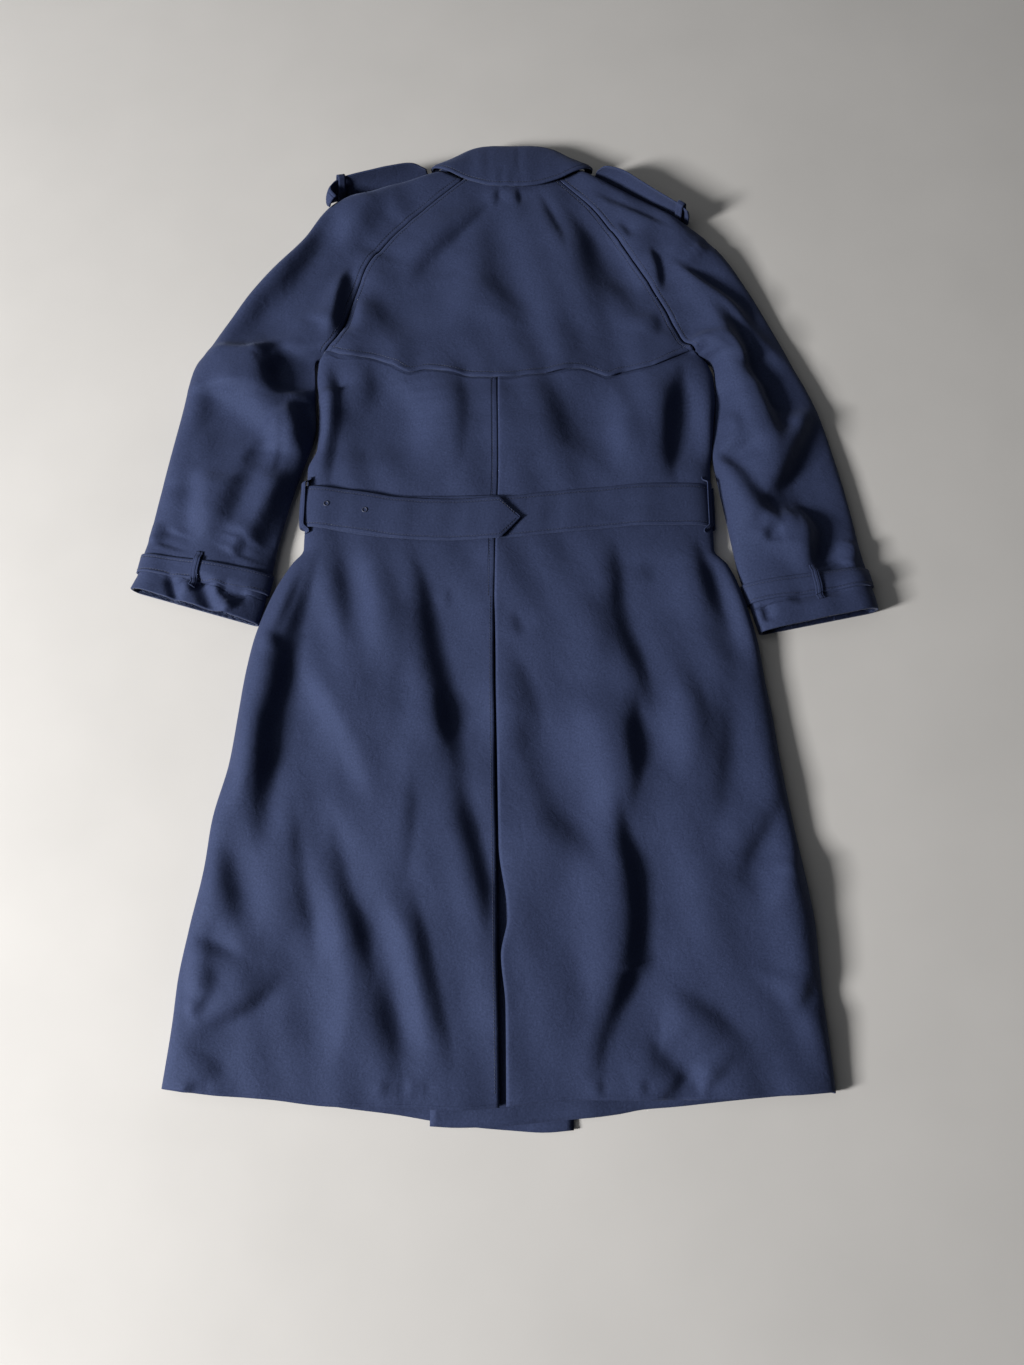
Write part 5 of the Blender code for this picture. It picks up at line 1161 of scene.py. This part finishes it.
epauletteSettings = dict(flat=(0.045, 0.150), area=0.0050, held="folded", thickness=0.0026, bow=0.0030,
                         fullBow=0.030, thinEdge=0.55, stitch=0.004, each=8, columns=12)
keeperSettings = dict(flat=(0.010, 0.092), held="stretched", at={"left": 5, "right": 6}, gap=0.0014,
                      thickness=0.0013, width=0.010, sides=32)


def rounded(values, power):
    return np.sign(values) * np.abs(values) ** power


def makeEpaulettes(settings, keeperSettings):
    half, bow = settings["thickness"] / 2, settings["bow"]
    share = np.linspace(0, 1, settings["columns"])[:, None]
    for name, rows in epauletteRows.items():
        rails = flow(rows, settings["each"])
        foot, top = rails[:, :3], rails[:, 3:]
        away = unit(np.cross(np.gradient(foot + top, axis=0), top - foot))
        away = -away if away[2, 1] < 0 else away
        width = np.linalg.norm(top - foot, axis=1)
        arch = 4 * share * (1 - share) * (bow * np.minimum(1, width / settings["fullBow"]))[:, None, None]
        points = foot[:, None] * (1 - share) + top[:, None] * share + away[:, None] * arch
        reach = away[:, None] * half * (1 - settings["thinEdge"] * (2 * np.abs(share - 0.5)) ** 10)
        outer, inner = points + reach, points - reach
        _, _, fromFoot, fromTop = edgeDistances(outer)
        seamAndShadeDistance = np.abs(np.minimum(fromFoot, fromTop) - settings["stitch"])
        strap = closedWall("epaulette" + name.title(), outer, inner, gabardine, seamAndShadeDistance)
        layOut(strap, ["epaulette_" + name])
        row = keeperSettings["at"][name] * settings["each"]
        gap, turn = keeperSettings["gap"], circle(keeperSettings["sides"])
        up = (top[row] - foot[row]) / width[row]
        high = rounded(np.cos(turn), 0.35) * (width[row] / 2 + gap)
        deep = rounded(np.sin(turn), 0.5)
        deep = deep * (half + gap + np.where(deep > 0, bow, 0))
        middle, tangent = (foot[row] + top[row]) / 2, np.cross(up, away[row])
        steps = keeperSettings["width"] * np.linspace(-0.5, 0.5, 5)
        ring = np.array([middle + tangent * step + high[:, None] * up + deep[:, None] * away[row]
                         for step in steps])
        spread = unit(ring - ring.mean(1, keepdims=True)) * keeperSettings["thickness"]
        loop = closedWall("epauletteLoop" + name.title(), ring + spread, ring, beltCloth, ring=True)
        layOut(loop, ["epaulette_loop_" + name])


stitchSettings = dict(pitch=0.0036, seed=5, length=0.0026, width=0.00032, height=0.00024, smallest=0.88,
                      largest=1.08, profile=((-0.5, 0.35), (-0.32, 1.0), (0.32, 1.0), (0.5, 0.35)))


def makeStitchShape(settings):
    stitch = bpy.data.meshes.new("stitchShape")
    length, width, height = (settings[key] for key in ("length", "width", "height"))
    points = [(length * along, width * r * math.cos(t), height * r * math.sin(t))
              for along, r in settings["profile"] for t in circle(5)]
    quads = [[5 * k + j, 5 * k + (j + 1) % 5, 5 * k + 5 + (j + 1) % 5, 5 * k + 5 + j]
             for k in range(3) for j in range(5)]
    stitch.from_pydata(points, [], quads + [[4, 3, 2, 1, 0], [15, 16, 17, 18, 19]])
    return stitch


def makeStitchTree(settings):
    # one small stitch repeated along every line of a mesh
    group = bpy.data.node_groups.new("stitchRow", "GeometryNodeTree")
    addSockets(group, "INPUT", "Geometry", Geometry=None)
    pitch, = addSockets(group, "INPUT", "Float", Stitch_Pitch=settings["pitch"])
    shape, = addSockets(group, "INPUT", "Object", Stitch=None)
    seed, = addSockets(group, "INPUT", "Int", Seed=settings["seed"])
    addSockets(group, "OUTPUT", "Geometry", Geometry=None)
    source, out = addNode(group, "NodeGroupInput"), addNode(group, "NodeGroupOutput")
    toCurve = addNode(group, "GeometryNodeMeshToCurve")
    resample = addNode(group, "GeometryNodeResampleCurve", mode="LENGTH")
    tangent = addNode(group, "GeometryNodeInputTangent")
    turn = addNode(group, "FunctionNodeAlignRotationToVector", axis="X")
    info = addNode(group, "GeometryNodeObjectInfo")
    size = addNode(group, "FunctionNodeRandomValue", data_type="FLOAT")
    size.inputs[2].default_value, size.inputs[3].default_value = settings["smallest"], settings["largest"]
    instance = addNode(group, "GeometryNodeInstanceOnPoints")
    realize = addNode(group, "GeometryNodeRealizeInstances")
    dress = addNode(group, "GeometryNodeSetMaterial", Material=thread)
    for start, end in (
        (source.outputs["Geometry"], toCurve.inputs[0]), (toCurve.outputs[0], resample.inputs["Curve"]),
        (source.outputs["Stitch Pitch"], resample.inputs["Length"]),
        (source.outputs["Stitch"], info.inputs[0]), (info.outputs["Geometry"], instance.inputs["Instance"]),
        (resample.outputs[0], instance.inputs["Points"]),
        (tangent.outputs[0], turn.inputs["Vector"]), (turn.outputs[0], instance.inputs["Rotation"]),
        (source.outputs["Seed"], size.inputs["Seed"]), (size.outputs[1], instance.inputs["Scale"]),
        (instance.outputs[0], realize.inputs[0]), (realize.outputs[0], dress.inputs["Geometry"]),
        (dress.outputs[0], out.inputs[0]),
    ):
        group.links.new(start, end)
    return group, pitch.identifier, shape.identifier, seed.identifier


def makeStitches(settings):
    lines = bpy.data.meshes.new("stitchLines")
    starts = np.cumsum([0] + [len(run) for run in stitchRuns])
    edges = [(start + k, start + k + 1)
             for start, run in zip(starts, stitchRuns) for k in range(len(run) - 1)]
    lines.from_pydata(np.concatenate(stitchRuns).tolist(), edges, [])
    stitchSource = bpy.data.objects.new("stitchSource", makeStitchShape(settings))
    stitching = bpy.data.objects.new("stitching", lines)
    for thing in (stitchSource, stitching):
        bpy.context.scene.collection.objects.link(thing)
    modifier = stitching.modifiers.new("stitchRow", "NODES")
    modifier.node_group, pitch, shape, seed = makeStitchTree(settings)
    modifier[pitch], modifier[shape], modifier[seed] = settings["pitch"], stitchSource, settings["seed"]
    graph = bpy.context.evaluated_depsgraph_get()
    made = bpy.data.meshes.new_from_object(stitching.evaluated_get(graph), depsgraph=graph)
    stitching.modifiers.clear()
    stitching.data = made
    made.shade_smooth()
    bpy.data.objects.remove(stitchSource)
    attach(stitching, "root")
    print("stitches", len(made.polygons))


def dressKeptNodes():
    # the pieces out of sight below keep their CAD shape
    for name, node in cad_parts.items():
        ofHorn = "button" in name or name == "belt_buckle"
        if ofHorn or name.startswith("lapel_") or name in ("belt_front", "belt_buckle_end"):
            node.data.materials.clear()
            node.data.materials.append(horn if ofHorn else gabardine)


stageSettings = dict(floorHalf=4, world=(0.80, 0.86, 0.95, 1.0), worldStrength=0.04, lens=36 * 1025 / 1365,
                     camera=(0.010, -0.4135, 1.1824), tilt=14.04)
lights = {
    "windowLight": dict(place=(-2.75, -1.10, 1.68), aim=(0.0, -0.05, 0.0), size=(0.58, 0.82), energy=226,
                        color=(1.0, 0.985, 0.97)),
    "softFill": dict(place=(-1.5, 0.2, 2.4), aim=(0.0, 0.0, 0.0), size=(2.6, 2.6), energy=16,
                     color=(0.98, 0.99, 1.0)),
}


def makeFloor(half):
    mesh = bpy.data.meshes.new("floor")
    corners = [(-half, -half, 0), (half, -half, 0), (half, half, 0), (-half, half, 0)]
    mesh.from_pydata(corners, [], [(0, 1, 2, 3)])
    mesh.materials.append(paleFloor)
    floor = bpy.data.objects.new("floor", mesh)
    bpy.context.scene.collection.objects.link(floor)


def addLight(name, place, aim, size, energy, color):
    data = bpy.data.lights.new(name, "AREA")
    data.shape, data.energy, data.color = "RECTANGLE", energy, color
    data.size, data.size_y = size
    light = bpy.data.objects.new(name, data)
    light.location = place
    light.rotation_euler = (Vector(aim) - Vector(place)).to_track_quat("-Z", "Y").to_euler()
    bpy.context.scene.collection.objects.link(light)


def makeStage(settings):
    makeFloor(settings["floorHalf"])
    for name, light in lights.items():
        addLight(name, **light)
    scene = bpy.context.scene
    scene.world = bpy.data.worlds.new("softRoom")
    scene.world.use_nodes = True
    sky = scene.world.node_tree.nodes["Background"]
    fill(sky, Color=settings["world"], Strength=settings["worldStrength"])
    scene.view_settings.view_transform = "Standard"
    data = bpy.data.cameras.new("camera")
    data.sensor_width, data.sensor_fit, data.lens, data.clip_start = 36, "AUTO", settings["lens"], 0.01
    camera = bpy.data.objects.new("camera", data)
    camera.location = settings["camera"]
    camera.rotation_euler = (math.radians(settings["tilt"]), 0, 0)
    scene.collection.objects.link(camera)
    scene.camera = camera


makeStage(stageSettings)
print("stage")
makeBack(backSettings)
makeVentUnderlay(underlaySettings)
makeStormShield(shieldSettings)
print("back")
makeFronts(frontSettings)
makeSleeves(sleeveSettings)
makeLinings(liningSettings)
makeCuffStraps(strapSettings, cuffLoopSettings)
print("sleeves")
makeBelt(beltSettings, tailSettings)
makeBeltLoops(beltLoopSettings)
makeCollar(collarSettings)
makeCollarStand(standSettings)
makeEpaulettes(epauletteSettings, keeperSettings)
makeStitches(stitchSettings)
dressKeptNodes()
print("trim")
